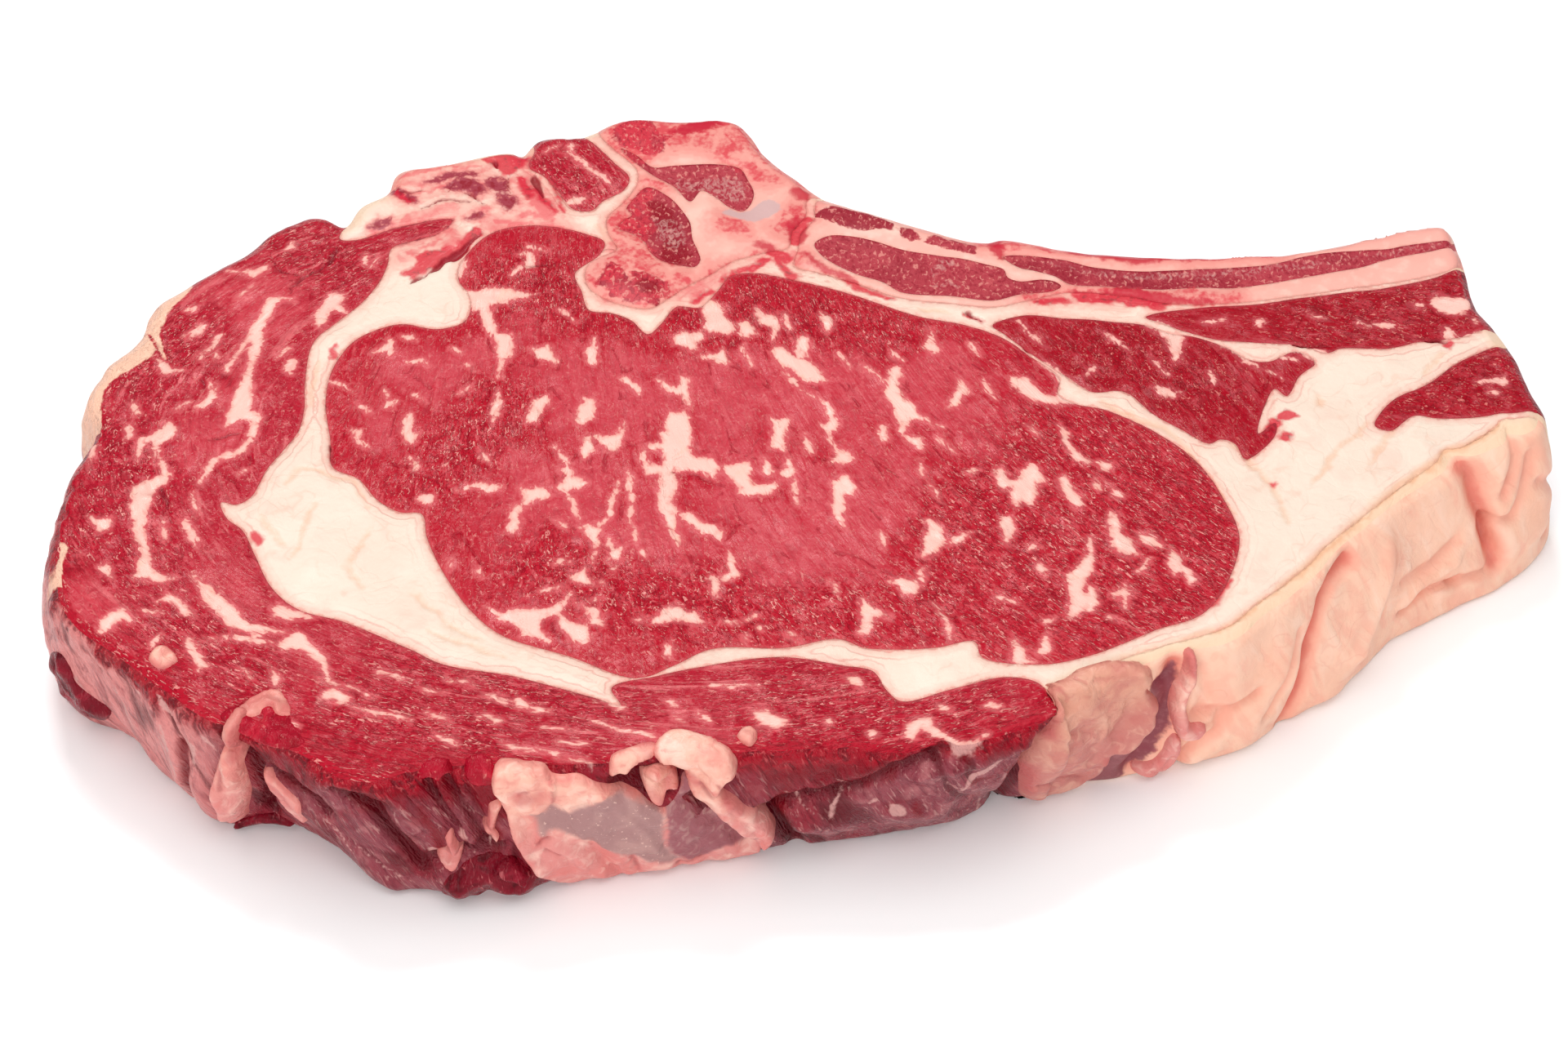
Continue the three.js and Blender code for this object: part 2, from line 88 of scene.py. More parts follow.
# outlines of the pieces in the plane of the cut, x and y in turn; where one reaches the edge it runs on
# outside it
pieceOutlines = {
    "eye_muscle": (-55.5, 37.5, -56.5, 33.8, -61, 32, -68, 33, -75, 29.5, -78.7, 23, -79.5, 15, -78, 6,
        -77, -0.5, -72.5, -3, -69, -7.5, -65, -10.2, -61.3, -10.6, -60, -16, -56.5, -24, -51.5, -32,
        -46, -37, -35, -41.5, -24, -46, -18, -43.3, -12, -39.7, 0, -39.3, 9, -37.4, 13.5, -39.2, 25, -39.2,
        31.3, -38, 32.5, -41.2, 43, -42.7, 51, -40.7, 61, -36, 69, -32.5, 74, -25, 76.6, -15.5, 74.5, -7,
        70.5, 1, 64.5, 7, 56, 12.5, 50.5, 14, 47.6, 16.2, 48, 20, 43.5, 25, 38, 30, 32, 32.8, 24, 35,
        14, 39.7, 3, 43.5, -5, 45.6, -9.5, 44.7, -12, 41, -15, 37.2, -19, 37.3, -21.5, 33.5, -24, 30.8,
        -27, 34, -31, 36, -34.5, 36.5, -36, 41, -37.3, 45.5, -33, 50, -32.3, 53, -36, 55.3, -46, 57.3,
        -52.5, 55.3, -57.8, 48, -58, 43.5, -56.2, 40.5),
    "cap_muscle": (-79.6, 66, -79.6, 59.5, -80.2, 54.8, -77, 54.5, -70, 57, -60, 58.7, -62, 55.5, -66, 54,
        -70.5, 52, -71, 48, -72, 44, -75, 38.5, -79, 33.5, -82.7, 28.5, -83.4, 19, -83, 13, -83.6, 8,
        -85.5, 4, -88, -0.5, -90.5, -7.5, -92.8, -9, -95.3, -8.5, -94, -12, -91, -14.8, -88.5, -20,
        -85, -27, -80.5, -31.2, -72, -34.2, -62, -39.5, -56, -43, -43, -46, -31, -50, -26.5, -51.5,
        -28, -48, -20, -45.3, -10, -42.7, 0, -41.3, 10, -43, 14.5, -44, 16.8, -48, 19, -50, 28, -47.5,
        36, -45.3, 41, -46.5, 45, -50.3, 49, -54, 50, -70, 20, -80, -40, -85, -100, -70, -140, -35,
        -140, 25, -118, 52, -95, 75),
    "side_muscle": (36.8, 32.8, 42, 35.2, 50, 34.7, 58, 34, 64, 33, 68, 31, 72, 30.2, 77, 28, 81.5, 24.7,
        85, 24.2, 90, 26.5, 93, 24, 90, 21, 87.3, 16.3, 85.5, 18, 83.5, 14.5, 81.7, 7.5, 84.8, 10, 84.5, 7,
        79, 1.7, 77.5, 5, 75, 6, 73, 5, 68, 8.5, 64, 11.5, 59, 17, 53.5, 16.8, 49, 20.5, 42.5, 26.8,
        38.8, 30.6),
    "rib_muscle": (64, 35, 72, 36.9, 84, 37.8, 92, 39.3, 100, 40.6, 108, 42, 116, 44, 121.5, 46.6, 130, 48,
        133, 40, 130, 33, 124.8, 32.2, 120, 30.2, 112, 28.9, 106, 27.2, 98, 27.3, 95, 26.2, 91, 28,
        84, 28.5, 76, 29.6, 70, 31.8, 66.5, 33.6),
    "flank_muscle": (102, 9.5, 104.5, 8.3, 109, 11.8, 113, 11.3, 121, 11.7, 130, 12.8, 140, 15, 140, 28,
        128, 28.5, 125, 27.7, 118, 24, 112, 19, 106.5, 16, 103.3, 12.5),
    "back_muscle": (-47.5, 84, -46.2, 78, -46.8, 72.5, -44, 70, -41, 65.5, -38, 61.2, -34.8, 61, -33, 63.3,
        -29, 66.5, -28.3, 69.5, -31, 73, -35, 78.5, -37, 81, -38, 88),
    "chine_bone": (-35, 95, -34.5, 82.3, -31.5, 77, -27, 71.5, -26.8, 68, -29, 63.5, -32, 59, -31.5, 54.5,
        -30, 51.2, -35, 47.8, -35.2, 42.8, -32, 39.4, -24, 36.8, -20.5, 39.3, -17.5, 42, -13, 45.2,
        -9, 48.5, -3, 50.8, 0.8, 52, 1.5, 56, 4, 60, 4.6, 64.5, 8, 67, 12, 74, 0, 90),
    "rib_bone": (2.6, 52, 2, 47.5, 6, 45.8, 13, 43.2, 21, 39.8, 29, 38.3, 37, 37.4, 44, 39.2, 50, 40.9,
        60, 40.3, 68, 38.3, 76, 37.9, 84, 38.6, 92, 40, 100, 41.5, 106, 42.7, 112, 43.8, 118, 45.4,
        122, 47.5, 130, 51, 128, 70, 80, 64, 40, 68, 14, 76, 9, 67.2, 6.2, 64, 5.6, 59.5, 3.2, 55.6),
    "fat_cap": (47, -49, 56, -42, 66, -38.5, 73, -35.5, 80, -29.5, 88, -22, 100, -10, 110, -1, 120, 6.5,
        125, 10.2, 130, 11.2, 140, 11.5, 150, 0, 110, -45, 80, -62, 54, -62, 50, -52),
    "chine_marrow": (-30, 77, -27, 75, -24, 72, -20, 72.5, -12, 73, -8, 72, -6.5, 69, -5.5, 66, -6, 63,
        -7.5, 61, -10, 62, -12, 64, -15, 66, -17, 63.2, -20, 67, -24, 70, -28, 74),
    "joint_marrow": (-25, 67, -21, 64.5, -18.5, 61, -17, 58, -16.5, 54, -15.5, 51, -15, 48.5, -16, 47,
        -19, 47.5, -22, 48.5, -24, 50.5, -25, 53, -27, 55, -30, 56.5, -29, 58.5, -27.5, 60, -28.6, 61.5,
        -28, 63),
    "rib_marrow": (39.5, 50.5, 50, 49.7, 56, 47.5, 64, 46.5, 76, 46.8, 86, 47.5, 92, 49.5, 98, 50.8,
        106, 51, 114, 52.5, 120, 53.5, 126, 54.6, 126, 52.8, 120.2, 51.8, 115, 50.3, 109, 49, 104, 47,
        98, 45.5, 92, 44, 85, 42.5, 80, 41.8, 74, 42, 66, 41.7, 58, 42.5, 51, 43, 48.5, 45, 45, 46.5,
        42, 47.5),
    "neck_marrow": (5.5, 53, 8, 55, 12, 55, 17, 53.5, 22, 51.5, 28, 50.5, 32, 50, 36, 48.5, 39.3, 47,
        40, 44.7, 42, 43.8, 46, 44.3, 48.5, 43.6, 49.4, 42.5, 48, 41.4, 42, 40.5, 37, 38.9, 30, 39.9,
        21, 41.2, 18, 43.5, 13, 45.5, 9, 48, 6.5, 50.5),
}
fatPieces = ["kernel_fat", "seam_fat"]  # what is left between the outlines

# folds and clefts of the front wall: depth outward, width, then x and height in turn
wallFolds = [
    (-3.2, 3.6, 45.4, 29, 44.3, 25, 42.5, 21.8, 41.6, 17.5, 40.4, 12, 39.6, 5, 39.4, 0),
    (-2.4, 2.0, 94.4, 27, 91.2, 26, 89.4, 24.2, 87.7, 21.2, 86.4, 17.8, 85.4, 13.2, 84.3, 8, 82.5, 2),
    (1.4, 7, 97, 22, 93, 12, 91, 4), (1.2, 5, 82, 22, 80, 12, 77, 6), (-2.1, 2.6, 115.2, 30, 117.4, 26.5,
    117.6, 21.8, 119.2, 16.2, 120.1, 10.5, 121, 6), (-2, 1.8, 119, 16, 119.7, 13, 120.1, 10.5),
    (-1.3, 1.8, 119.3, 15.8, 123.8, 15.5, 125.5, 19, 127.9, 25), (1.2, 4, 123, 25, 122.5, 19),
    (1, 4, 124, 11, 127, 9), (-1.5, 1.4, 103.2, 7.2, 106.5, 8.6, 110, 8.4, 113.2, 7.5),
    (-1.3, 1.3, 112, 7.5, 119.3, 5.8), (0.9, 1.7, 103, 8.4, 105, 11.3, 108.3, 12, 112.6, 12.5),
    (-1.1, 1.6, 103, 14.5, 108, 14, 113, 16), (-1.4, 1.5, 66.2, 0.5, 66.8, 5, 68.8, 7.5, 72, 9, 73.4, 13.8,
    77.6, 14.8), (-1, 1.4, 69.4, 10.8, 71.4, 11, 72.4, 14.2), (-1.6, 2.4, 68.5, 15, 70.5, 14.6),
    (0.9, 3, 68.5, 3, 71.5, 5), (-0.8, 1.8, 68.5, 26, 69.3, 21, 68.9, 17), (-1.4, 1.6, 122.5, 21, 125.3, 26,
    126, 30), (-1.2, 1.8, 129, 19, 131, 12, 130, 5), (-1.2, 1.6, 84.6, 22, 82, 14, 79, 8), (1.4, 3, 100, 24,
    97.5, 16, 94, 9), (-2.2, 3, 63.8, 27, 63.4, 20, 62, 12, 58, 4), (-1.6, 1.8, 61, 24.2, 62.6, 23.8),
    (-2.2, 1.7, -82.9, 22.5, -79.3, 21.2, -75.8, 20, -74.6, 17.6), (-2.6, 1.9, -71.4, 26.2, -68.7, 25.6,
    -66.1, 23.6, -64.3, 19, -61.8, 14.2, -59, 8), (1.6, 3, -74, 26.5, -71, 28.6, -66, 29, -62.5, 26,
    -60.5, 19), (1.2, 4, -78, 14, -70, 6, -64, 2), (-1.7, 1.3, -57.1, 28, -54.9, 23.2, -52.7, 18.2),
    (-1.8, 1.3, -54, 28, -51.7, 21.8, -48.7, 13), (-1.6, 1.2, -51, 26.2, -49.7, 20.2, -47.6, 15),
    (-1.8, 2, -57.5, 10, -52, 12.5, -46, 12), (1, 1.3, -55.5, 27, -53, 21, -50.6, 14.5), (1, 1.2, -59.5, 27,
    -57, 21.5, -54, 14), (2.2, 5, -55, 5, -49, 6.5, -43, 4), (-2.6, 1.6, -90.8, 27, -85.8, 24, -85.6, 14,
    -86.5, 6), (-1.3, 1.4, -97.8, 21, -98, 15.5, -98.5, 8, -99.3, 1), (1, 3, -96, 12, -95.4, 4),
    (-1.2, 2, -116, 14, -113, 8, -110, 3), (0.8, 2.4, -103, 26, -99.6, 18, -100, 8), (-3.2, 4, -25, 25.5,
    -20, 25, -15.4, 26), (-1.6, 3, -14, 19, -10, 12, -6, 6), (-1.9, 1.7, -3, 14.5, -0.5, 16.5, 3, 18,
    8, 18.8, 12, 19.2, 15.7, 23.4, 18.1, 25.6, 26.1, 29), (-2.8, 2, -3, 14.5, -1.5, 11.8, 0.5, 6.8, 2, 1.5),
    (2, 5.5, 3, 11, 8, 9.5), (1.4, 3, 22, 24, 30, 25, 38, 26), (-1.2, 4, 32, 10, 36, 5), (1.3, 5, 18, 12,
    24, 9), (0.9, 2.4, 10, 24, 14, 26), (-0.9, 1.6, 6, 23, 9, 21, 12.5, 21),
]


def pairs(numbers):
    # points from a row of x and y in turn
    return np.array(numbers, float).reshape(-1, 2)


def closedCurve(knots, step):
    # centripetal curve through the knots, about one point every step
    knots = np.array(knots, float)
    count = len(knots)
    samples = []
    for index in range(count):
        before, start, end, after = (knots[(index + shift) % count] for shift in (-1, 0, 1, 2))
        times = [0.0]
        for one, two in ((before, start), (start, end), (end, after)):
            times.append(times[-1] + math.dist(one, two) ** 0.5)
        parts = max(1, round(math.dist(start[:2], end[:2]) / step))
        for part in range(parts):
            now = times[1] + (times[2] - times[1]) * part / parts
            mix = lambda a, b, ta, tb: ((tb - now) * a + (now - ta) * b) / (tb - ta)
            first = mix(before, start, times[0], times[1])
            second = mix(start, end, times[1], times[2])
            third = mix(end, after, times[2], times[3])
            low = mix(first, second, times[0], times[2])
            high = mix(second, third, times[1], times[3])
            samples.append(mix(low, high, times[1], times[2]))
    return np.array(samples)


def smoothNoise(points, size, seed):
    # seeded lattice noise from -1 to 1 with lumps of the given size, one value a point
    place = np.asarray(points, float) / size + seed * 17.31
    cell = np.floor(place).astype(np.int64)
    share = place - cell
    share = share * share * (3 - 2 * share)
    total = np.zeros(len(place))
    for corner in range(8):
        step = np.array([corner & 1, corner >> 1 & 1, corner >> 2 & 1])
        node = cell + step
        mixed = node[:, 0] * 73856093 ^ node[:, 1] * 19349663 ^ node[:, 2] * 83492791
        mixed = (mixed ^ mixed >> 13) * 1274126177 & 0x7FFFFFFF
        mixed = (mixed ^ mixed >> 15) & 0xFFFF
        weight = np.prod(np.where(step, share, 1 - share), axis=1)
        total += weight * (mixed / 32767.5 - 1)
    return total


def insideOutline(points, outline):
    # which points lie inside a closed outline
    inside = np.zeros(len(points), bool)
    low, high = outline.min(0), outline.max(0)
    near = np.where(((points > low) & (points < high)).all(1))[0]
    x, y = points[near, 0], points[near, 1]
    odd = np.zeros(len(near), bool)
    for (x1, y1), (x2, y2) in zip(outline, np.roll(outline, -1, 0)):
        if y1 != y2:
            odd ^= ((y1 > y) != (y2 > y)) & (x < (x2 - x1) * (y - y1) / (y2 - y1) + x1)
    inside[near] = odd
    return inside


def treeOf(targets):
    tree = KDTree(len(targets))
    for index, target in enumerate(targets):
        tree.insert((target[0], target[1], 0), index)
    tree.balance()
    return tree


def nearest(points, tree):
    # index of the nearest target and the distance to it, for each point
    found = [tree.find((x, y, 0))[1:] for x, y in points]
    return np.array([f[0] for f in found]), np.array([f[1] for f in found])


def strokeField(points, strokes, floor=farOutside, taper=0.0):
    # how far inside the nearest stroke each point lies, in mm
    field = np.full(len(points), floor)
    for startWidth, endWidth, *path in strokes:
        path = pairs(path)
        reach = max(startWidth, endWidth) / 2 - floor
        box = ((points > path.min(0) - reach) & (points < path.max(0) + reach)).all(1)
        near = np.where(box)[0]
        spans = np.linalg.norm(np.diff(path, axis=0), axis=1)
        total = max(spans.sum(), 1e-6)
        run = 0.0
        for one, two, span in zip(path[:-1], path[1:], spans):
            share = ((points[near] - one) @ (two - one)) / max(span * span, 1e-9)
            share = np.clip(share, 0, 1)
            away = np.linalg.norm(points[near] - one - share[:, None] * (two - one), axis=1)
            along = (run + share * span) / total
            width = (startWidth + (endWidth - startWidth) * along) * (1 - taper * abs(2 * along - 1) ** 3)
            field[near] = np.maximum(field[near], width / 2 - away)
            run += span
    return field


def softStep(low, high, value):
    share = np.clip((value - low) / (high - low), 0, 1)
    return share * share * (3 - 2 * share)


def pathDistance(points, path):
    best = np.full(len(points), 1e6)
    for one, two in zip(path[:-1], path[1:]):
        span = two - one
        share = np.clip(((points - one) @ span) / max(span @ span, 1e-9), 0, 1)
        best = np.minimum(best, np.linalg.norm(points - one - share[:, None] * span, axis=1))
    return best


def insideDistance(points, outline):
    # mm inside a closed outline, negative outside it
    away = pathDistance(points, np.vstack([outline, outline[:1]]))
    return np.where(insideOutline(points, outline), away, -away)


def shapeField(points, shapes):
    # how far inside the nearest of the closed outlines each point lies, in mm
    field = np.full(len(points), farOutside)
    for shape in shapes:
        outline = pairs(shape)
        near = ((points > outline.min(0) + farOutside) & (points < outline.max(0) - farOutside)).all(1)
        field[near] = np.maximum(field[near], insideDistance(points[near], outline))
    return field


# marbling, drawn from above in mm: outlines of the larger marks as x and y in turn, then thin strokes,
# which have a start width and an end width first
eyeShapes = [
    (-44.4, 9.9, -42.8, 9.9, -42.4, 11.7, -41.2, 14.2, -41, 16.3, -41.9, 15.8, -43, 15.4, -43.7, 14.5,
    -44, 12.2, -44.5, 11.3), (-35.6, 11.3, -35.1, 13.5, -34.2, 14.5, -34.6, 15.6, -33.2, 15.1, -32.6, 12.9,
    -33.3, 10.6, -34.6, 9.2, -35.5, 9.9), (-32.6, 7, -31, 6.5, -29.6, 7, -28.3, 7.6, -27.6, 10.1,
    -27.4, 7.2, -28.3, 4.5, -29.4, 3.1, -30.5, 4, -31.7, 5.1), (-34.4, 6.5, -33.3, 6.5, -33, 5.1, -32.4, 4,
    -33.5, 3.5, -34.2, 2.4, -34.9, 4, -34.2, 4.9), (-19.6, 12.2, -18.5, 11.7, -17.1, 12.6, -16, 10.6,
    -16.2, 7.6, -16, 3.5, -15.1, 2, -12.1, 1.3, -11.2, -0.5, -11.9, -2.8, -13.7, -1.2, -15.5, -1, -17.8, -1,
    -18.7, -0.5, -18.3, -4.6, -19.4, -8.3, -17.6, -10.3, -15.5, -10.8, -13.7, -12.8, -11.5, -13.7,
    -11.7, -15, -14.6, -14.2, -16.9, -11.5, -18.5, -10.5, -18.3, -13.3, -18, -17.4, -19, -14.9,
    -19.6, -13.3, -20.5, -11, -21.2, -9.2, -21, -4.6, -21.2, -1.9, -23, -1.9, -24.4, -0.1, -24.2, 4.5,
    -23.5, 2.6, -23, 0.4, -20.5, 0.1, -20.5, 3.5, -23, 4, -22.8, 5.1, -20.5, 5.6, -21.2, 7.6, -20.1, 8.1,
    -20.5, 9.5), (-10.3, 0.1, -8.7, -0.1, -6, 0.4, -5.5, -1, -6.2, -2.8, -5.5, -4.6, -3.3, -4.9, -1.5, -4.2,
    -1, -5.3, -2.8, -6.5, -6, -6.9, -7.4, -6.5, -7.8, -4.6, -9, -2.8, -9.9, -1.2), (-39.7, 4.7, -38.7, 4,
    -37.6, 2.2, -36.7, 0.4, -36, -1.9, -34.2, -2.4, -33.5, -3.5, -34.6, -4.4, -36.5, -4.9, -37.6, -5.1,
    -38.7, -5.1, -39.6, -4.9, -38.3, -4, -37.1, -1.9, -38.3, -0.5, -36.9, 0.1, -38.3, 2.2, -39.2, 3.8),
    (-44.6, -4.4, -43.3, -4.9, -41, -4.6, -39.9, -6, -40.8, -7.1, -42.4, -7.4, -44.2, -8.7, -44.9, -10.5,
    -44.6, -12.4, -45.3, -14.4, -46.5, -14.9, -46.5, -12.4, -46, -10.1, -45.5, -8.5, -44.4, -7.4,
    -44.2, -5.8), (-55.5, -5.3, -53.3, -4, -51, -3.5, -50, -4, -47.8, -4.4, -50, -5.8, -52.4, -4.4,
    -54.6, -5.1), (-62.5, -7.4, -61.2, -6.5, -59.9, -6.7, -59.6, -8.3, -60.5, -8.8, -61.7, -8), (-66, 9.9,
    -64.9, 11.7, -64, 9.9, -64.2, 7.6, -62.8, 7, -63, 5.6, -64.6, 5.6, -65.5, 7.2), (-44.6, 27, -43.5, 26.7,
    -41.9, 27.4, -41.2, 28.1, -40.8, 26.7, -40.5, 25.4, -39.6, 23.8, -40.3, 23.3, -41.5, 24.2, -42.8, 24.9,
    -43.7, 25.8), (-34.5, 27.2, -33.7, 27.6, -33.4, 29.5, -33.2, 27.2, -32.6, 24.5, -33.2, 23.8, -34.2, 24,
    -34.4, 25.4), (-28.7, 20.6, -27.4, 20.4, -26, 19, -25.1, 17.6, -25.5, 16.9, -26.9, 18.1, -28.3, 19.5),
    (-21.9, 19.7, -20.5, 18.8, -19.2, 18.1, -18, 18.4, -18, 20.6, -16.7, 19.9, -17, 18, -16.5, 16.7,
    -16.2, 13.5, -16.9, 14.9, -17.8, 16.5, -20.1, 17, -21.2, 18.1), (-2.4, 10.8, -1.5, 9.9, 0.8, 10.6,
    0.6, 7.6, 0.1, 4.5, 0.4, 2.9, -0.5, 3.5, -2.1, 3.8, -1.9, 6.3, -1.7, 8.1), (-3.3, 1.5, -2.6, 0.4,
    -1.9, -1.7, -2.6, -2.4, -3.7, -1.9, -3.6, -0.1), (1, 1.7, 1.5, -0.1, 1.7, -1.9, 0.8, -3.3, -0.5, -2.6,
    -0.5, -1.5, 0.6, -1, 0.6, 0.4), (-14.9, 39, -12.8, 39, -10.8, 36.7, -10.1, 34, -9, 32.6, -8.7, 30.8,
    -10.1, 30.4, -12.4, 31, -13.7, 31.3, -14, 34.5, -14.6, 36.7), (-8.3, 33.1, -6.9, 33.3, -5.5, 32.2,
    -5.1, 30.4, -6.5, 29.9, -8, 30.1), (-4.9, 36.7, -4, 35.6, -1.9, 34.7, -1, 33.5, -1.2, 30.8, -1.7, 28.8,
    -2.1, 31.7, -3.3, 32.6, -4.4, 33.1), (0.1, 35.4, 0.8, 33.1, 1.3, 31, 0.6, 31.5, -0.1, 33.5),
    (-19.2, 29.9, -17.1, 30.4, -14.6, 30.8, -13.7, 29.9, -15.5, 28.8, -15.1, 27.2, -16.5, 26.7, -18.3, 27.9,
    -19.2, 28.3), (-14.4, 25.4, -12.4, 26, -10.5, 26.5, -10.1, 25.4, -10.3, 23.3, -11.5, 23.8, -13.3, 24.5),
    (-2.1, 25.8, -1, 27.2, 0.2, 26.9, 1.4, 25.4, 3.6, 24, 5.9, 22.6, 7.3, 19.2, 5.5, 19, 3.4, 19.5,
    1.8, 21.7, 0.5, 22.6, -1, 23.5), (2, 29.2, 3.4, 29.7, 4.5, 28.5, 4.3, 26.7, 3.9, 24.9, 2.7, 24.5,
    2.3, 26.7), (0, 21.3, 1.8, 19.5, 3.4, 16.7, 5.9, 15.4, 7.3, 14.2, 8.4, 12.2, 9.1, 9.9, 9.3, 8.5,
    8.6, 8.1, 7.5, 7.2, 6.6, 9, 8, 9.9, 7.5, 11.7, 6.4, 14.9, 4.5, 15.8, 2.3, 17.6, 0.9, 19.5), (8.4, 5.4,
    8.9, 3.1, 10.9, 2.9, 11.8, 1.3, 10.2, -0.1, 8.4, 0.8, 9.1, 2.6), (16.8, 8.5, 17.6, 8.6, 17.7, 5.4,
    16.9, 5.3, 16.4, 6.7), (18.4, 22, 19.3, 22.6, 20, 22, 20, 17.2, 20.9, 14.9, 22.3, 13.1, 22.7, 11.5,
    24.8, 9.9, 21.8, 9.9, 20.9, 7.6, 20, 6.7, 19.5, 9.9, 19.1, 12.6, 18.2, 14.9, 17.5, 15.8, 18, 19),
    (20, 7, 21.8, 6, 23.2, 5.4, 23.9, 3.5, 22.7, 3.8, 21.4, 4.9), (25.5, 32.2, 26.1, 30.4, 26.4, 28.5,
    27.3, 26.7, 26.6, 25.4, 25.5, 26.3, 24.1, 27, 25, 28.1, 25.5, 29.9), (30.2, 19.9, 31.4, 18.5, 32, 16,
    30.9, 15.6, 30.5, 13.5, 28.4, 12.4, 29.1, 14.9, 30.2, 16.7), (6.6, 35.6, 8.4, 34.5, 8.6, 32.2,
    7.5, 30.6, 6.8, 33.1), (36.4, -4.6, 36.1, -2.1, 37.5, -1.5, 38, -4.2, 40, -4.6, 40.5, -1.9, 42, -0.3,
    43, -1.9, 44.1, -4.2, 42.7, -4.6, 42.5, -7.4, 41.8, -9.2, 40.2, -8.7, 39.1, -10.5, 38.6, -7.8, 39.1, -6,
    37, -6), (46.8, -3.5, 47.7, -3.3, 48.9, -5.5, 50, -7.4, 50.5, -9.2, 49.3, -9.6, 48.2, -8.3, 46.8, -6),
    (53, -3.3, 53.6, -4.6, 53.6, -5.8, 52.7, -5.1), (55.5, -4.9, 56.6, -6.5, 57.4, -7.6, 55.7, -7.4),
    (47.5, 8.5, 48.9, 7.2, 48.6, 4.5, 50.5, 2.2, 52, 0.4, 49.5, 1.3, 48, 4.5), (53.6, 0.4, 55.9, 0.1,
    55.5, -1.7, 54.1, -1), (8.2, -4, 9.5, -3.3, 11, -2.8, 12, -5, 11.8, -6.9, 10.2, -6.5, 10, -9.2,
    10.7, -9.6, 9.5, -14, 8.4, -11.9, 8.2, -9.6, 8.6, -6.9), (3.4, 7.2, 4.5, 5.4, 4.9, 2.6, 4.1, 3.1),
    (39.4, 20, 42.2, 19.6, 43.8, 17.4, 45.8, 15.4, 47.2, 15.6, 48, 17.5, 47.6, 19.8, 46, 22, 44, 24,
    46, 23.6, 50, 19.6, 53.5, 16, 53, 14.6, 49, 14.2, 47, 13.8, 43.5, 14.5, 41, 16.4, 39.6, 18.2),
    (-69.3, 29, -68.4, 28.5, -68.4, 25.8, -69, 25.4, -69.7, 26.7, -72, 25.8, -70.6, 27, -69.5, 28.1),
    (-67, 29.9, -65.2, 30.1, -64.7, 29, -66.5, 29), (-74.3, 8.1, -72.9, 7.6, -72.9, 5.8, -71.3, 4,
    -73.4, 5.4, -74, 6.7), (-57.4, 41, -49.8, 41.1, -44, 40, -46.5, 39, -52, 37.5, -52, 36.3, -54.5, 36,
    -56.8, 38.6), (-54.3, 39, -52.3, 39, -51.5, 34, -50.2, 30.5, -48.2, 30, -47.5, 27, -47.8, 25, -49, 24.5,
    -49.3, 20, -50, 19.8, -50, 24, -50.5, 28, -52.5, 32), (-50.8, 11.5, -50.2, 9.6, -49.6, 11, -49.2, 14.5,
    -49.8, 17, -50.3, 14), (24.3, -12.4, 26, -13.5, 26.7, -16, 27, -18, 25.9, -19, 24.2, -20.5, 22.8, -20.5,
    23.7, -17.5, 23.5, -16, 24.2, -14.5), (36.2, -12, 38, -12, 38.6, -15, 37.8, -18, 37.2, -18.1,
    36.6, -15.5), (51, -16, 51.6, -16, 51.7, -21, 51, -24, 50, -25.5, 49.8, -28, 50.4, -28.5, 51, -26.5,
    52, -27.5, 52.2, -30, 51, -31.8, 50, -31.8, 50.3, -30.5, 49.5, -31.5, 48, -33.4, 47.1, -33, 47.5, -29,
    47, -24.5, 48, -23.5, 49.5, -22, 50.6, -20), (55, -10.5, 56.2, -11.5, 56.5, -15, 58.4, -17, 59.3, -19.8,
    57.5, -20.4, 55.8, -20, 54.8, -17.5, 55, -14), (59.6, -15, 61.5, -16, 63.3, -18, 62, -18.3,
    60.5, -17.5), (64.8, -19, 66.5, -20.5, 66.6, -22.5, 67.8, -23.5, 68.5, -25, 67.5, -26, 66.4, -24,
    65, -24.5, 64.2, -22.5), (56.7, -25.9, 57.2, -27.5, 58, -28.2, 57, -29.2, 56.5, -31, 55.8, -29,
    54.2, -28.5, 55.8, -27.5), (43.2, -36.8, 43.7, -39.5, 42.5, -40.5, 41.8, -40.4, 42.4, -38.5),
    (37.4, -37.9, 39, -39.5, 39.3, -41.5, 41, -42.5, 38, -42.5, 37.3, -41.5, 37.8, -40), (17.5, -25.5,
    19, -25.6, 22, -25.2, 22.5, -27, 21.5, -28.5, 20, -28.6, 19.3, -27), (12.9, -29.4, 14, -30.5, 15, -31.3,
    17.5, -33.3, 15.5, -32.8, 14.5, -33, 14.6, -35.5, 13.9, -36.5, 12, -36.2, 13.2, -34.8, 13.3, -33.5,
    13, -32), (-34.5, -13.5, -33, -13.2, -31.5, -14, -30.3, -12, -31.2, -15, -31.5, -18.5, -31.9, -21.5,
    -32.3, -17, -32.6, -15.5), (-29.6, -15.8, -28.6, -18.5, -27.3, -18, -27.6, -20.5, -29.3, -20.6,
    -28.9, -19.5, -29.9, -17.5), (-15.3, -13.8, -13.2, -15.3, -12, -15.5, -10.5, -16.8, -10.8, -15,
    -12.3, -13.8, -13.7, -13.2), (-9.3, -18.8, -8.6, -20, -8.3, -22.5, -7.4, -24.4, -9, -24.6, -9.8, -25.5,
    -10.6, -25.4, -10.6, -27, -11.5, -28.5, -12, -26.5, -12.4, -24.8, -10.5, -24.8, -9.2, -23.5, -9.4, -21),
    (-39.2, -21.7, -37.5, -20.6, -36, -21.3, -37.5, -21.7, -38.7, -22.2), (-33, -22.7, -32.3, -25.5,
    -31.7, -26.5, -33, -26, -34.5, -25.3, -35.7, -25.5, -35.5, -24.5, -34, -23.5), (-49, -31, -46.5, -32.2,
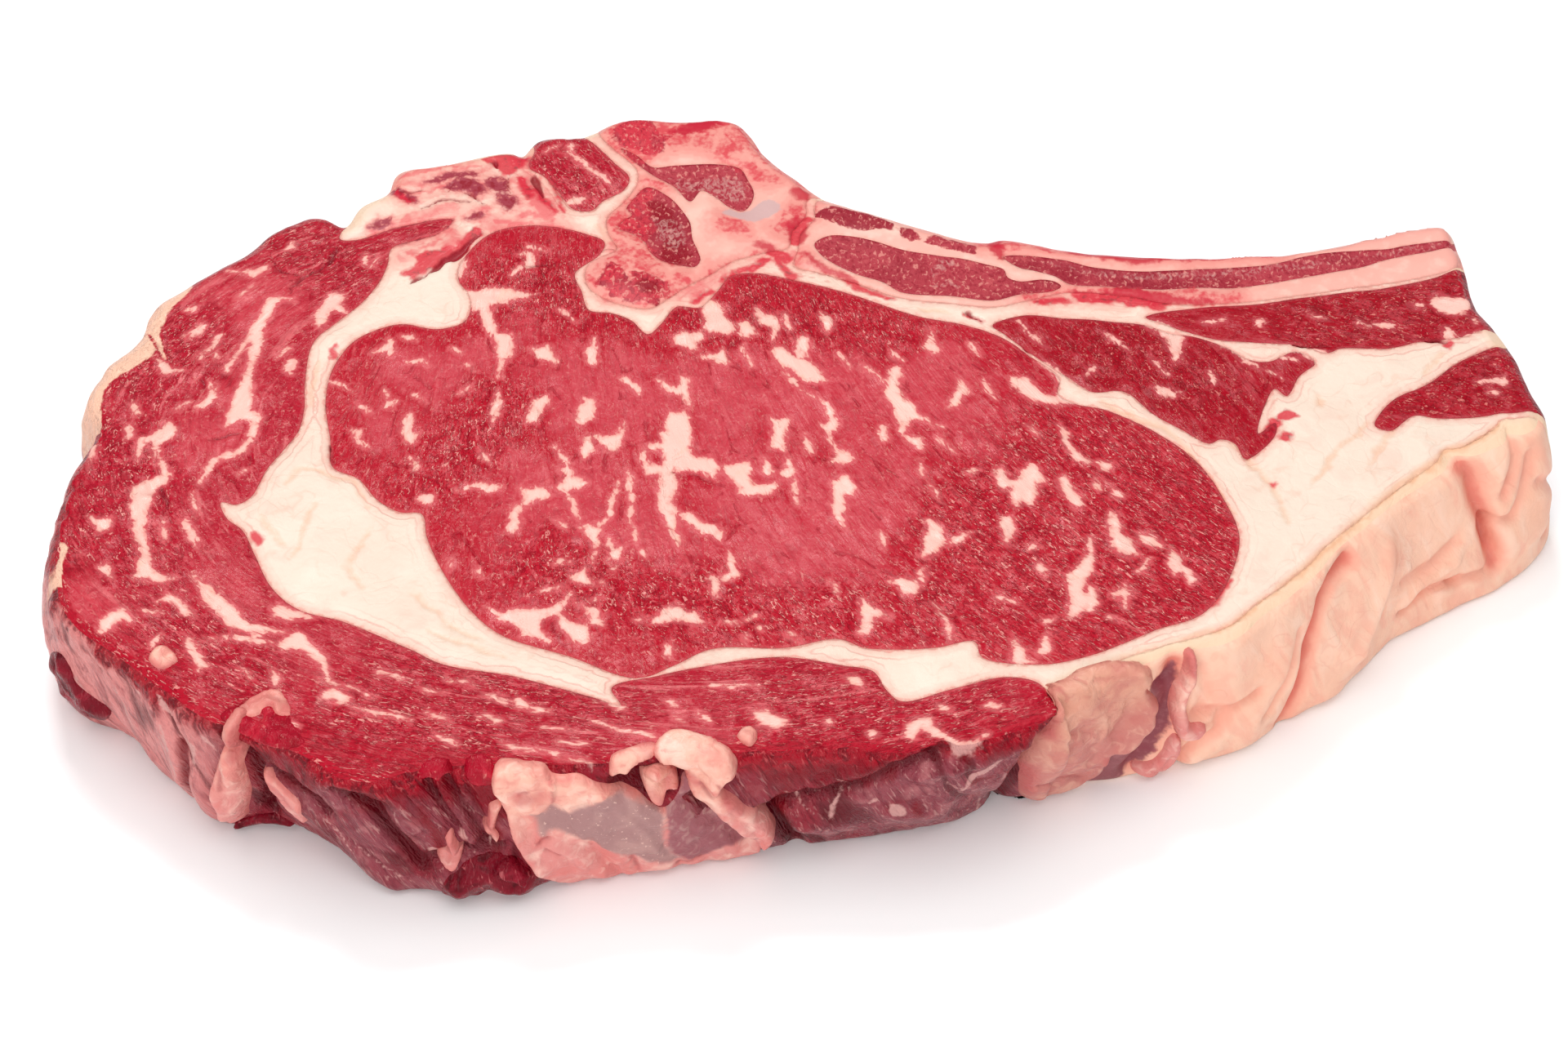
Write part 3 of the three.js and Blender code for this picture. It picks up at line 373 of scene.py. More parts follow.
    -44.8, -31.8, -43, -31.3, -41, -31.6, -38.3, -31, -36.4, -29.6, -35.6, -28, -35.9, -30, -37.2, -32.5,
    -35.5, -34, -32.8, -35, -31.9, -36.6, -32.3, -38.5, -33.8, -39, -35, -37.5, -36.3, -35.5, -37.3, -33.3,
    -38.7, -32.9, -40, -33.6, -40.2, -35.5, -38.8, -38.3, -40.5, -37.6, -43, -36.8, -44, -35, -46.5, -33.5),
    (-33.4, -30.5, -31.6, -31.5, -30.5, -33, -29.8, -35, -32.3, -34.7, -32.3, -33), (-22, -34.5, -20.5, -33,
    -19, -31.5, -17.5, -31.2, -16, -32.5, -14.8, -31.8, -13.8, -33.5, -12.5, -34.3, -14.5, -34.5,
    -16.5, -33.9, -18.5, -33.8, -20.5, -34.7), (-47.8, 50, -44.6, 50.2, -44.6, 46.4, -46, 46.4, -46, 49.1),
    (-58.3, 49.5, -56.9, 48.2, -57.8, 44.5, -59.6, 43.6),
]
capShapes = [
    (-90.9, 39, -88.8, 39, -90.2, 37.2, -91.3, 34.5, -92, 31.7, -91.5, 28.5, -92.2, 25.4, -92.9, 23.1,
    -92.8, 20.8, -92.5, 17.2, -92, 14.5, -92.5, 12.2, -90.9, 11.7, -90.2, 10.8, -90.4, 9.5, -92, 9.9,
    -93.4, 10.6, -95.2, 9.5, -96.3, 9, -95.9, 11.7, -95.6, 14.5, -94.7, 17.2, -94.3, 19.9, -93.6, 23.1,
    -93.8, 25.8, -93.4, 28.1, -93.8, 29.2, -95.6, 25.4, -97.2, 21.5, -97.4, 22.2, -95.6, 26.7, -94.3, 29.9,
    -93.8, 32.6, -92.5, 35.8, -91.8, 38.1), (-102.2, 33.5, -102, 32.4, -102.9, 30.6, -103.8, 30.1,
    -105.9, 30.1, -104.7, 30.8, -103.4, 32.2), (-109.3, 24, -107.9, 23.5, -107.2, 22.4, -104.7, 21.5,
    -106.5, 21.3, -107.9, 20.4, -108.7, 21, -109.4, 22.6), (-86.5, 24.5, -85.4, 24, -85.9, 20.8, -87, 21.3,
    -87.2, 22.6), (-100.2, 19, -99.3, 18.3, -98.6, 17.4, -98.5, 15.4, -99.7, 13.1, -101.8, 12.7, -100.6, 14,
    -99.7, 15.8, -99.5, 17.2), (-112.9, 13.1, -112.2, 13.5, -111.8, 12.2, -111.1, 11.3, -112.5, 11.2),
    (-113.6, 8.5, -112.5, 9, -112, 6.3, -112.7, 5.6), (-110.6, 5.6, -108.8, 6.3, -107, 7.6, -106, 9.2,
    -104.8, 8.1, -104.5, 6.3, -105.9, 4.9, -107.1, 4.2, -107.1, 2.6, -105.9, 0.4, -105, -2.1, -105, -4.6,
    -106.1, -5.1, -107.2, -6.9, -107.5, -10.1, -107.2, -13, -108.9, -14.6, -110.6, -10.1, -110.4, -6,
    -108.4, -3.7, -106.8, -3, -105.9, -2.8, -106.5, -0.1, -107.5, 2.6, -108.1, 5.1, -109.7, 4.7,
    -110.4, 0.8, -110.9, 3.1), (-83.1, 36.3, -81.5, 38.1, -80.4, 38.1, -80.6, 35.4, -81.1, 33.5, -82, 32.2,
    -82.7, 33.1), (-117.5, -11.5, -116.3, -12.8, -113.8, -12.4, -113.8, -14.2, -115.2, -15), (-110, -12,
    -108.8, -12.5, -107.2, -16.5, -105.8, -20, -105.5, -23.2, -103.8, -25, -101.5, -25.3, -103.5, -26.2,
    -105.5, -25.5, -108, -24.7, -107.6, -22, -107.2, -20, -108.8, -17, -109.5, -14), (-98.3, -24.5,
    -96, -26.5, -93, -29.5, -91, -31, -89.5, -33.5, -86.5, -35, -82, -36.3, -84, -36.2, -88, -36,
    -91.5, -35.2, -93.5, -32.5, -96.3, -30, -96.5, -27.5), (-84.5, -31, -83.5, -30.6, -82, -31.5,
    -80.3, -31.8, -78.7, -32.5, -77.5, -33.5, -80, -33.3, -82, -34, -84.3, -33), (-103.8, -29.5,
    -102.3, -28, -100.5, -28.8, -98.8, -31, -97, -33, -98.5, -32.8, -100.5, -30.5, -102, -29.9),
    (-114.5, -23, -113.2, -22.3, -112.2, -24, -111.8, -25.2, -113.5, -24), (-83, -38.5, -81.5, -37.5,
    -80, -36.5, -79.3, -36.5, -77.5, -39, -75.5, -41, -74.5, -43.5, -74, -46.5, -74.8, -45, -76, -43,
    -77.5, -41.3, -79.5, -40, -82, -39.7), (-75, -49.8, -73, -48, -71.5, -49, -70.3, -50.5, -70.2, -51.6,
    -71.8, -51.7, -72.8, -50.3), (-113, -35.6, -112.6, -34, -111, -32.6, -109, -32, -107.7, -33,
    -107.6, -34.5, -108.8, -33.8, -110, -34, -111, -35.5, -112.5, -36.6), (-98.2, -37.3, -97, -38.5,
    -95.5, -41, -94.4, -43.5, -95.5, -44.4, -96.5, -42, -98, -39.5), (-43.3, -50.5, -41, -52, -39, -52.5,
    -37.8, -53.2, -41, -52.9, -43, -52), (-29.5, -50.3, -27.5, -50.8, -26, -52, -25.5, -52.9, -27.5, -52),
    (-5, -53, -3, -52.8, -1.5, -53.5, 0.5, -55, -1, -56, -3.5, -55.5, -4.6, -54.5), (20, -57.5, 20, -55,
    21.5, -54, 23.5, -54, 24.5, -56, 26.5, -58.5, 28, -59.2, 31, -58.7, 33, -57.3, 30, -60, 27, -60,
    25, -58.5, 23.5, -57, 22, -55.5, 21.6, -57.5, 20.7, -58.3), (9.8, -45.6, 11.5, -45.2, 12.8, -46.6,
    12.6, -47.5, 11, -47), (32, -51.5, 33.2, -50.9, 35, -51.6, 34.6, -52.4, 33, -52), (-93.6, 1.8, -92, 3.4,
    -91, 6.2, -90.7, 9, -91.8, 9.4, -92.2, 5.8, -93.4, 3.4), (-100, 46.6, -97.5, 46.1, -94.3, 46.4,
    -92.5, 47.7, -92.5, 46.4, -94.7, 44.5, -96.5, 45.5), (-82.9, 36, -81.5, 39.5, -79.7, 40.5, -78, 40,
    -78.8, 38.2, -77.5, 36, -80, 36.6),
]
otherShapes = [  # side, rib, flank and back muscles
    (62.5, 34.5, 66, 34, 68.5, 32, 70.3, 30.2, 70, 28, 69, 25, 68.4, 24, 68.2, 26, 67.4, 28, 67.2, 30,
    65.6, 31.8, 63.5, 33), (75.3, 28.8, 77.5, 28.4, 81, 28, 84, 27.7, 86, 26, 88.5, 24.8, 90, 24.4, 87, 25,
    84.5, 26, 82.5, 27, 80.6, 26, 81, 25, 82.8, 23.6, 82.6, 23, 80.5, 24.2, 78.5, 26.4), (86.7, 27,
    88.5, 28, 90.5, 27.6, 91.5, 26, 93, 24.5, 94, 22.8, 92.4, 24.2, 90.5, 26.2, 88.6, 26.8), (92, 27.4,
    95, 26.4, 96.6, 24.6, 94, 25.6), (111, 37.1, 113.5, 37.3, 113, 36.8), (115, 39, 116.5, 39.6,
    121.5, 38.6, 122.5, 37, 121, 35.6, 119, 35.2, 116, 36, 114.6, 37.4), (116.8, 32, 117.6, 31, 118.3, 29.6,
    120, 30.2, 122.4, 31.2, 124.5, 32, 122, 30.2, 118, 29, 116.4, 30), (104, 33.2, 105.5, 32.8, 107.8, 32.6,
    107, 31.4, 104.6, 31.8), (83.2, 33.6, 84.2, 33.8, 84.7, 33, 84.2, 32.2, 83.2, 32.6), (-39.6, 62.7,
    -37.8, 64.1, -36, 64.3, -36.5, 63.2, -38.7, 62.3), (64.8, 18, 66, 18.2, 67.5, 17, 68.8, 16.5,
    67.4, 15.8, 65, 16.4), (120.4, 19.2, 121.8, 20, 123.6, 20.4, 124.6, 20.8, 126, 20.6, 126.4, 19.4,
    125.4, 18.5, 124, 19.3, 122, 19.4), (122.7, 17.2, 123.6, 17.6, 124.2, 17, 123.6, 16.3), (121.8, 34.2,
    122.6, 34.6, 123, 33.4, 122, 32.8),
]
eyeMarbling = [
    (0.9, 0.6, -36.7, -5.5, -35.8, -8.5, -34.2, -12), (1.2, 1, -28, -3.5, -29.5, -10, -31.5, -13),
    (1.1, 0.6, -26.5, -1, -25.6, -12, -25, -16.8), (1, 0.7, -58.6, 27.6, -57, 26.3), (0.9, 0.8, -55.5, 23.5,
    -54, 21.5), (0.9, 0.6, -56.2, 16.2, -54.4, 18.6), (0.9, 0.7, -64.8, 16.2, -62, 14.4),
    (1.2, 0.6, 1.5, -3.5, 2.4, -9), (0.9, 0.6, -7.4, 27.6, -5.5, 22.6), (0.6, 1, 13.6, 22.4, 15.5, 21.3,
    17.6, 19), (0.8, 0.5, 23, 10.8, 25.5, 9, 27.3, 8.1), (0.8, 1, 7.4, 7, 8.6, 3.5), (0.9, 0.5, 18.6, 26.2,
    20.8, 24), (0.9, 0.8, 32.6, 28.2, 34.4, 25.2), (0.8, 0.5, 35, 19.5, 36.6, 14.5), (0.9, 0.6, 23.2, 0.5,
    23.6, -2.8), (0.7, 0.5, 24.6, -4, 26.6, -8.6), (0.8, 1, 30.6, -1.8, 33.2, -1.8), (0.7, 0.5, 9.5, 26,
    11.5, 22), (0.7, 0.6, 26, 6, 29.5, 2), (0.8, 0.6, -73.4, 14, -71.3, 11.7), (0.8, 0.7, -69.2, 17.4,
    -69, 15.8), (1.2, 1, -69.2, 13.2, -67.5, 15.2), (1, 0.7, -65.8, 23.8, -63.8, 24.2, -62.2, 22.8),
    (0.7, 0.5, -79.2, 19.8, -75.7, 17.6), (0.5, 1.2, 24.5, -30.3, 26.3, -32.5, 26.8, -35, 27.2, -38),
    (0.6, 0.5, 16.3, -15.5, 16.7, -19), (0.6, 1.1, 7.5, -25.3, 8.3, -26.7, 9, -28.5), (0.9, 0.5, 9, -12,
    10.2, -14.5), (1.4, 1, 28, -17.2, 31, -15.5), (1, 0.7, 43, -34, 44.7, -33), (0.8, 0.6, 53.6, -33,
    55.3, -33.8), (0.8, 0.5, 22.6, -25.5, 23.5, -22.5), (1, 0.8, 42.5, -22, 43.5, -24.5),
    (0.8, 0.7, 41.2, -18.8, 42.5, -18.5), (0.9, 0.7, 35, -28.6, 38.5, -29.5), (0.9, 0.5, 0.5, -36.5,
    3, -38), (1.6, 1.6, -28.5, -22.2, -28.2, -22.9), (1.2, 0.8, -23.6, -18.8, -22.8, -20.5),
    (1, 1.3, -19.5, -12, -18.8, -14.5, -17.3, -18), (0.9, 0.6, -30.9, -25.7, -30.1, -26.4),
    (0.9, 0.6, -40.4, -27.6, -38.8, -27.2, -36.7, -26.6), (1.2, 1.1, -31, -29.6, -30.6, -29.4),
    (0.7, 0.6, -10.3, -34.2, -7, -34, -4, -33), (1.3, 0.9, -18.7, -39, -18.8, -41.8),
    (0.7, 0.5, -22.3, -33.5, -25, -33.3), (0.8, 0.6, -4, -34.8, -3.6, -35.8), (0.7, 0.6, -7, -37.2,
    -6.2, -37.8), (0.9, 0.7, -55.8, -20.5, -55.6, -22.5), (0.7, 0.4, -51.2, -22.5, -51, -24.5),
    (1, 0.7, -38.2, -12.3, -37, -13.6), (1.2, 0.8, -46.5, 46.4, -48.7, 44.5), (0.8, 0.6, -46, 52,
    -42, 50.5), (0.8, 0.6, -40, 36, -36.5, 34), (0.7, 0.5, -64, 2, -62.5, -1), (0.6, 0.5, -52, 4, -50, 1),
    (0.6, 0.5, 42, 9, 44, 6), (0.7, 0.5, 59, -24, 61, -21),
]
capMarbling = [
    (0.6, 1, -48.5, -49.3, -44.5, -51), (0.5, 1, -31, -54.5, -28.5, -56, -25, -57.2, -20, -58.6),
    (0.7, 0.6, -59, -48, -55, -49), (0.7, 0.6, -58, -53.5, -54, -55.3), (0.8, 0.7, -56.5, -57.8,
    -52.5, -59.5), (0.6, 0.8, -45, -59.5, -40, -61.2, -35, -62), (0.7, 0.6, -36, -59.5, -31.3, -59.5),
    (0.6, 0.5, -38.5, -56.4, -33.5, -56.8), (0.6, 0.5, -55, -46, -50, -48), (0.7, 0.5, -49, -54,
    -45.5, -55.5), (0.6, 0.5, -37, -62, -31, -63.4), (1.2, 0.8, -18.8, -51.2, -17.3, -52.5),
    (0.6, 0.6, -18, -53.5, -16, -55), (1, 0.6, -14.3, -52.8, -12, -55), (1.6, 1.2, 7, -55, 7.8, -55.4),
    (1.6, 1.3, 14, -57, 14.8, -57.4), (1.4, 1.2, 25, -51.2, 26.6, -52), (0.9, 1, -99.2, 30.8, -100.2, 28.1,
    -101.5, 25.8), (1, 0.7, -102.4, 25.6, -102.1, 24.2), (1, 1, -99.7, 26, -99.3, 24),
    (0.7, 0.5, -88.5, 24.8, -86.8, 27), (0.8, 0.8, -105.8, 12.1, -103.2, 14.1), (1.2, 1, -93, 2.6,
    -96.5, 1.6, -98.5, -1, -99.5, -4.6), (0.8, 0.6, -100.3, -6.5, -99.3, -11.5), (0.7, 0.6, -92.9, -2.4,
    -90.8, -0.8), (1, 0.7, -118.5, 4, -118.8, -1.5), (1.5, 1.4, -101.4, -12.5, -99.5, -15, -98.3, -18),
    (0.9, 0.7, -104.6, -13, -103.6, -16.4), (0.9, 0.8, -88.5, -43.5, -87, -46), (0.9, 0.8, -83.5, -44,
    -82.5, -46.6), (1.1, 0.9, -80.4, -54.6, -78.5, -56.3), (0.8, 1.1, -106.5, 36.5, -104.1, 37.1),
    (0.4, 0.4, -97, 39, -94.3, 42.7), (0.8, 0.8, -92, 36, -91.5, 38.6, -89.7, 39.3, -87, 38.6),
    (0.7, 0.8, -75.2, 50, -74.7, 47.7, -73.4, 47.3, -72.5, 49.1), (1.3, 0.8, -89.8, 52, -88, 53.4),
    (0.7, 0.6, -70, -52, -60, -55), (0.7, 0.6, -66, -45, -62, -46.6), (0.6, 0.5, -76, -46, -66, -50),
    (0.6, 0.5, -12, -47, -4, -48), (0.9, 0.6, -104, -40, -102.6, -36.6), (0.6, 0.5, -90, -37.6, -84, -38.4),
    (0.6, 0.5, -95, -37.4, -86, -36.9), (0.7, 0.5, -106, -31.6, -103.4, -32.2),
]
otherMarbling = [
    (0.6, 0.5, 41, 34, 46, 27), (0.8, 0.6, 57, 31, 60, 27), (1.1, 0.8, 52.5, 20, 54, 22.5),
    (0.8, 0.6, 74, 22, 75, 19), (0.7, 0.6, 64, 26, 67, 21), (1, 0.7, 101, 33.2, 104.4, 32.4),
    (0.7, 0.6, 74, 33.5, 78, 34), (0.7, 0.6, 92.6, 35, 96, 34.2), (0.8, 1.6, -39.6, 75.5, -37, 73.2,
    -36, 71.4), (1.6, 0.7, -36, 71.4, -33.3, 69.5, -31.9, 67.7), (1, 0.7, -39.2, 77.7, -38.7, 75),
    (1.2, 1, -43.5, 76, -41.5, 77.5), (0.6, 0.5, 84, 22.6, 86.6, 20.4),
]

# the slice's surface: the edge, the pieces' outlines and a fine grid between them, joined by triangles
thickness = slab["thickness"]
rim = closedCurve(edgeKnots, slab["grid"])[::-1]
rim = np.vstack([rim, rim[:1]])
rimRun = np.concatenate([[0], np.cumsum(np.linalg.norm(np.diff(rim[:, :2], axis=0), axis=1))])


def outwardDirections(loop, span):
    # unit outward direction at each point of the edge, averaged over the points within a span
    ring = loop[:-1, :2]
    along = np.roll(ring, -1, 0) - np.roll(ring, 1, 0)
    sides = np.stack([along[:, 1], -along[:, 0]], 1)
    apart = np.linalg.norm(ring[:, None] - ring[None], axis=2)
    mixed = (apart < span) @ sides
    mixed /= np.linalg.norm(mixed, axis=1)[:, None]
    return np.vstack([mixed, mixed[:1]])


rimOut = outwardDirections(rim, slab["normalSpan"])
frontRim = np.where(rimOut[:, 1] < -0.12)[0]  # the part of the edge that faces the front


def wallPlace(path):
    # points drawn as x and height on the front wall, turned into run along the edge and height
    path = pairs(path)
    picked = [frontRim[np.argmin(abs(rim[frontRim, 0] - x))] for x, height in path]
    return np.stack([rimRun[picked], path[:, 1]], 1)


# 1 where the wall is grooved muscle, 0 on the fat cap and on the backbone's side
grooved = softStep(0.4, 0.1, rimOut[:, 1]) * softStep(47, 41, rim[:, 0])
foldPaths = [(depth, width, wallPlace(path)) for depth, width, *path in wallFolds]


def wallOutline(path):
    # a closed outline drawn as x and height, rounded, as run along the edge and height
    return closedCurve(wallPlace(path), 0.5)


def alongRim(run, column):
    return np.interp(run, rimRun, column)


def grooveOf(place):
    # slanting grooves of the muscles' side, from -1 to 1
    run, height = place.T
    across, along = 0.9 * run + 0.42 * height, 0.9 * height - 0.42 * run
    bent = across + 1.6 * smoothNoise(np.stack([run, height, 0 * run], 1), 7, 81)
    coarse = smoothNoise(np.stack([bent / 2.6, along / 14, 0 * run], 1), 1, 82)
    fine = smoothNoise(np.stack([bent / 1.3, along / 9, 0 * run], 1), 1, 83)
    return (0.65 * coarse + 0.35 * fine) * alongRim(run, grooved)


def wallPoint(place, top):
    # where a place on the wall, as run along the edge and height, stands in the drawing
    run, height = place.T
    x, y, lean = (alongRim(run, rim[:, axis]) for axis in range(3))
    outX, outY = (alongRim(run, rimOut[:, axis]) for axis in range(2))
    share = np.clip(height / thickness, 0, 1)
    fromEdge = np.clip(np.minimum(height, top - height) / slab["round"], 0, 1)
    rounding = slab["inset"] * (1 - np.sqrt(np.clip(1 - (1 - fromEdge) ** 2, 0, 1)))
    offset = lean * (1 - share) + slab["bulge"] * np.sin(np.pi * share) - rounding
    for depth, width, path in foldPaths:
        offset += depth * np.exp(-2 * (pathDistance(place, path) / width) ** 2)
    base = np.stack([x, y, height], 1)
    offset += 0.45 * smoothNoise(base, 9, 3) + 0.22 * smoothNoise(base, 3.1, 4)
    offset += 0.8 * grooveOf(place) * fromEdge
    meaty = alongRim(run, grooved)
    ragged = smoothNoise(base, 2.2, 84) + 0.6 * smoothNoise(base, 1.2, 85)
    offset += 0.28 * ragged * meaty * softStep(9, 3, top - height) * softStep(0, 1.5, top - height)
    slanted = np.stack([(run + 0.6 * height) / 5, (height - 0.6 * run) / 15, 0 * run], 1)
    offset += 0.4 * smoothNoise(slanted, 1, 86) * (1 - meaty) * fromEdge
    return np.stack([x + outX * offset, y + outY * offset, height], 1)


def facingUp(points, faces):
    # the same triangles, all anticlockwise from above, and twice their areas
    one, two, three = (points[faces[:, corner]] for corner in range(3))
    turn = (two - one)[:, 0] * (three - one)[:, 1] - (two - one)[:, 1] * (three - one)[:, 0]
    return np.where(turn[:, None] < 0, faces[:, ::-1], faces), abs(turn)


outlineSamples = {name: closedCurve(pairs(row), slab["grid"]) for name, row in pieceOutlines.items()}
ringCount = len(rim) - 1
mapPoints = [rim[:-1, :2]]
mapEdges = [(index, (index + 1) % ringCount) for index in range(ringCount)]
used = ringCount
for name, samples in outlineSamples.items():
    inside = insideOutline(samples, rim[:-1, :2])
    keep = inside | np.roll(inside, 1) | np.roll(inside, -1)
    place = np.cumsum(keep) - 1 + used
    for index in np.where(keep)[0]:
        following = (index + 1) % len(samples)
        if keep[following]:
            mapEdges.append((int(place[index]), int(place[following])))
    mapPoints.append(samples[keep])
    used += int(keep.sum())
drawn = np.vstack(mapPoints)

randomness = np.random.default_rng(11)
low, high = rim[:, :2].min(0), rim[:, :2].max(0)
columns = np.arange(low[0], high[0], slab["grid"])
lines = np.arange(low[1], high[1], slab["grid"] * slab["gridRow"])
fillX, fillY = np.meshgrid(columns, lines)
fillX[1::2] += slab["grid"] / 2
fill = np.stack([fillX.ravel(), fillY.ravel()], 1)
fill += randomness.uniform(-slab["shuffle"], slab["shuffle"], fill.shape) * slab["grid"]
fill = fill[insideOutline(fill, rim[:-1, :2])]
fill = fill[nearest(fill, treeOf(drawn))[1] > slab["grid"] * 0.5]
flatMap = delaunay_2d_cdt([Vector(p) for p in np.vstack([drawn, fill]).tolist()], mapEdges, [], 0, 1e-4)
spots = np.array([tuple(v) for v in flatMap[0]])
faces = np.array([f for f in flatMap[2] if len(f) == 3])
centres = spots[faces].mean(1)
faces = faces[insideOutline(centres, rim[:-1, :2])]
faces, areas = facingUp(spots, faces)
faces = faces[areas > 1e-9]
centres = spots[faces].mean(1)
print("surface:", len(spots), "points,", len(faces), "triangles")

# which piece each triangle belongs to
drawOrder = ["chine_marrow", "joint_marrow", "rib_marrow", "neck_marrow", "eye_muscle", "cap_muscle",
             "side_muscle", "rib_muscle", "flank_muscle", "back_muscle", "chine_bone", "rib_bone", "fat_cap"]
pieceNames = drawOrder + fatPieces
label = np.full(len(faces), -1)
for index, name in enumerate(drawOrder):
    free = label < 0
    label[free] = np.where(insideOutline(centres[free], outlineSamples[name]), index, -1)


def borderOf(faces):
    # directed sides of the triangles whose other side isn't among them
    sides = np.vstack([faces[:, [0, 1]], faces[:, [1, 2]], faces[:, [2, 0]]])
    count = int(faces.max()) + 1
    code = sides[:, 0].astype(np.int64) * count + sides[:, 1]
    mirrored = sides[:, 1].astype(np.int64) * count + sides[:, 0]
    return sides[~np.isin(code, mirrored)]


# what no outline takes is fat: the kernel round the eye's left end, the seams elsewhere
rest = np.where(label < 0)[0]
restX, restY = centres[rest].T
inKernel = (restX < -37.2) | ((restY > 51) & (restX < -24)) | ((restY < -40) & (restX < -25))
label[rest] = np.where(inKernel, pieceNames.index("kernel_fat"), pieceNames.index("seam_fat"))

# each point's piece, and its distances to the seams and to the edge
spotCount = len(spots)
lowLabel = np.full(spotCount, 99)
highLabel = np.full(spotCount, -1)
for corner in range(3):
    np.minimum.at(lowLabel, faces[:, corner], np.minimum(label, pieceNames.index("kernel_fat")))
    np.maximum.at(highLabel, faces[:, corner], np.minimum(label, pieceNames.index("kernel_fat")))
seamSpots = np.where((lowLabel != highLabel) & (highLabel >= 0))[0]
seamDistance = nearest(spots, treeOf(spots[seamSpots]))[1]
rimNear, rimDistance = nearest(spots, treeOf(rim[:-1, :2]))
outerSides = borderOf(faces)
rimSpots = np.unique(outerSides)
rimDistance[rimSpots] = 0
rank = np.full(spotCount, -1)
rank[rimSpots] = np.arange(len(rimSpots))
print("distances measured")

# strokes drawn from above that aren't marbling: start width, end width, then x and y in turn
bloodStrokes = [
    (3, 3, 3, 66, 3.2, 66), (1.2, 2.4, -4.5, 53, -2.5, 51.5, 0.5, 49), (1.2, 0.8, -16, 38, -13, 41.5),
    (0.8, 1.4, -11, 44.5, -5, 47.5, -3, 48.5), (1.2, 1.6, -1, 48.5, 2, 44.5), (1, 1.4, 4, 50, 8, 46),
    (1.4, 0.9, 8, 46, 13, 42.5, 19, 39.8), (2.4, 1.8, 87.8, 12, 86.2, 11.8), (2.4, 1.8, 84.9, 10, 83.2, 7),
    (1.8, 1.6, 86.2, 6.6, 86.6, 7.2), (0.9, 0.7, 83, -3.6, 83, -4), (1.5, 1.1, 116.4, 27.8, 117, 29),
    (2, 1.6, -65, 49, -62, 47.5), (2.4, 2, -67, 45, -60, 51), (1.6, 3, -60, 49.5, -55, 55),
    (0.6, 0.5, -42.4, 68.2, -40.5, 61), (1.2, 0.8, -68, 63.4, -71, 66), (1.4, 1, -45.5, 66, -42, 61),
    (4, 3, 3, 57, 2.6, 54), (2.2, 1.8, 1.8, 56.5, 2.6, 58.6, 4.5, 59), (0.8, 0.6, -78.9, 27.5, -78.6, 25),
    (0.9, 0.7, 32, 35.4, 35, 33.6), (0.8, 0.5, 74.5, -25, 71, -31), (1.4, 1, 45, 38.3, 50, 38.9),
    (3, 3, 38.4, 54.8, 38.2, 52.5), (1.2, 1, 38.4, 51, 39.2, 50.6), (3, 5, 52, 52.5, 58, 51, 65, 50.5),
    (4, 2.5, 65, 50.5, 78, 50.5), (1.6, 1.6, -88.5, -16, -88, -16.5), (4.5, 3.5, 61, 40, 68, 39),
    (3, 2, 53, 40, 61, 40), (2, 1, 68, 39, 76, 37.6), (6, 5, -84, -54, -76, -58, -66, -62), (5, 4, -66, -62,
    -56, -63, -47, -63), (4, 3, -2, -61, 8, -60, 18, -61), (4, 3, 26, -58.6, 36, -56, 42, -53),
    (4, 3, -120.5, -4, -121, -14), (3.4, 3, -119, -22, -116, -25), (1.4, 1.4, -106, -41, -104, -39.4,
    -101, -39.4, -99.4, -42, -100.6, -45.4), (2, 1.4, -108.4, -35.5, -106, -38.5), (2.4, 1.6, -89, -53,
    -84, -55), (1.6, 1.2, -97.6, 20.4, -95.6, 17), (1.4, 1, -16.5, -34.8, -19.5, -35.4),
    (1.6, 1, -38.6, -34, -37, -37.6), (1.2, 0.8, -44, 46.4, -40.4, 47.4),
]
glowStrokes = [  # pink-red sawn edges of the chine, and fat tinged with juice
    (8, 8, -28, 82, -27, 78), (4, 3, -22.4, 81, -19, 83, -17, 82), (5, 4, -16, 84, -10.5, 84),
    (2.4, 3, -10.6, 81, -9, 78, -10.4, 75), (2, 1.6, -20, 79, -14.5, 78.6), (3, 3, -27, 62, -26, 60.5),
    (4, 4, -29, 57.5, -25.5, 56.5), (2.5, 2, -24, 67, -24.6, 65), (3, 2.4, -26, 50, -24, 48),
    (2.4, 2, -8, 84.4, -6.4, 80, -2, 75, 3, 70), (1.4, 1, -9, 73, -4, 70.4, -2.6, 69), (4.5, 3, -31.5, 44.5,
    -30, 46.5), (6, 5, -25, 41.5, -23.5, 42.5), (1.6, 1.2, -11, 57, -7, 56.4), (3, 3, -52, 57.8, -46, 57.6),
    (3, 3, -42, 56.8, -40, 56), (3, 2.5, -30, 41, -30, 42.5), (3, 2.5, -70, 70, -64, 72.6, -56, 73),
    (3, 2.5, -69, 65.5, -62, 67, -56, 66), (5, 4, -47.4, 68, -43, 60), (4, 4, -48, 75, -44, 76),
    (3.4, 3, -47, 60, -42, 58.6), (1.6, 1.4, -73, 55.6, -62, 60.6, -55, 61), (3, 2, -67, 50, -60, 54),
    (2, 1.6, 36, 55, 46, 53.8, 58, 51.8), (2, 1.4, 58, 51.8, 72, 50.4, 88, 51), (1.4, 1, -16, 40, -11, 45.4,
    -5, 48), (1.2, 1, -18, 44, -19, 40), (1, 0.8, -30, 52, -29, 49), (2.4, 2, 0, 57, 4.4, 62),
    (1.8, 1.4, 44, 39.6, 60, 40.8, 80, 38.6), (1.6, 1.2, -12, 45, -4, 48.8, 2, 49),
]
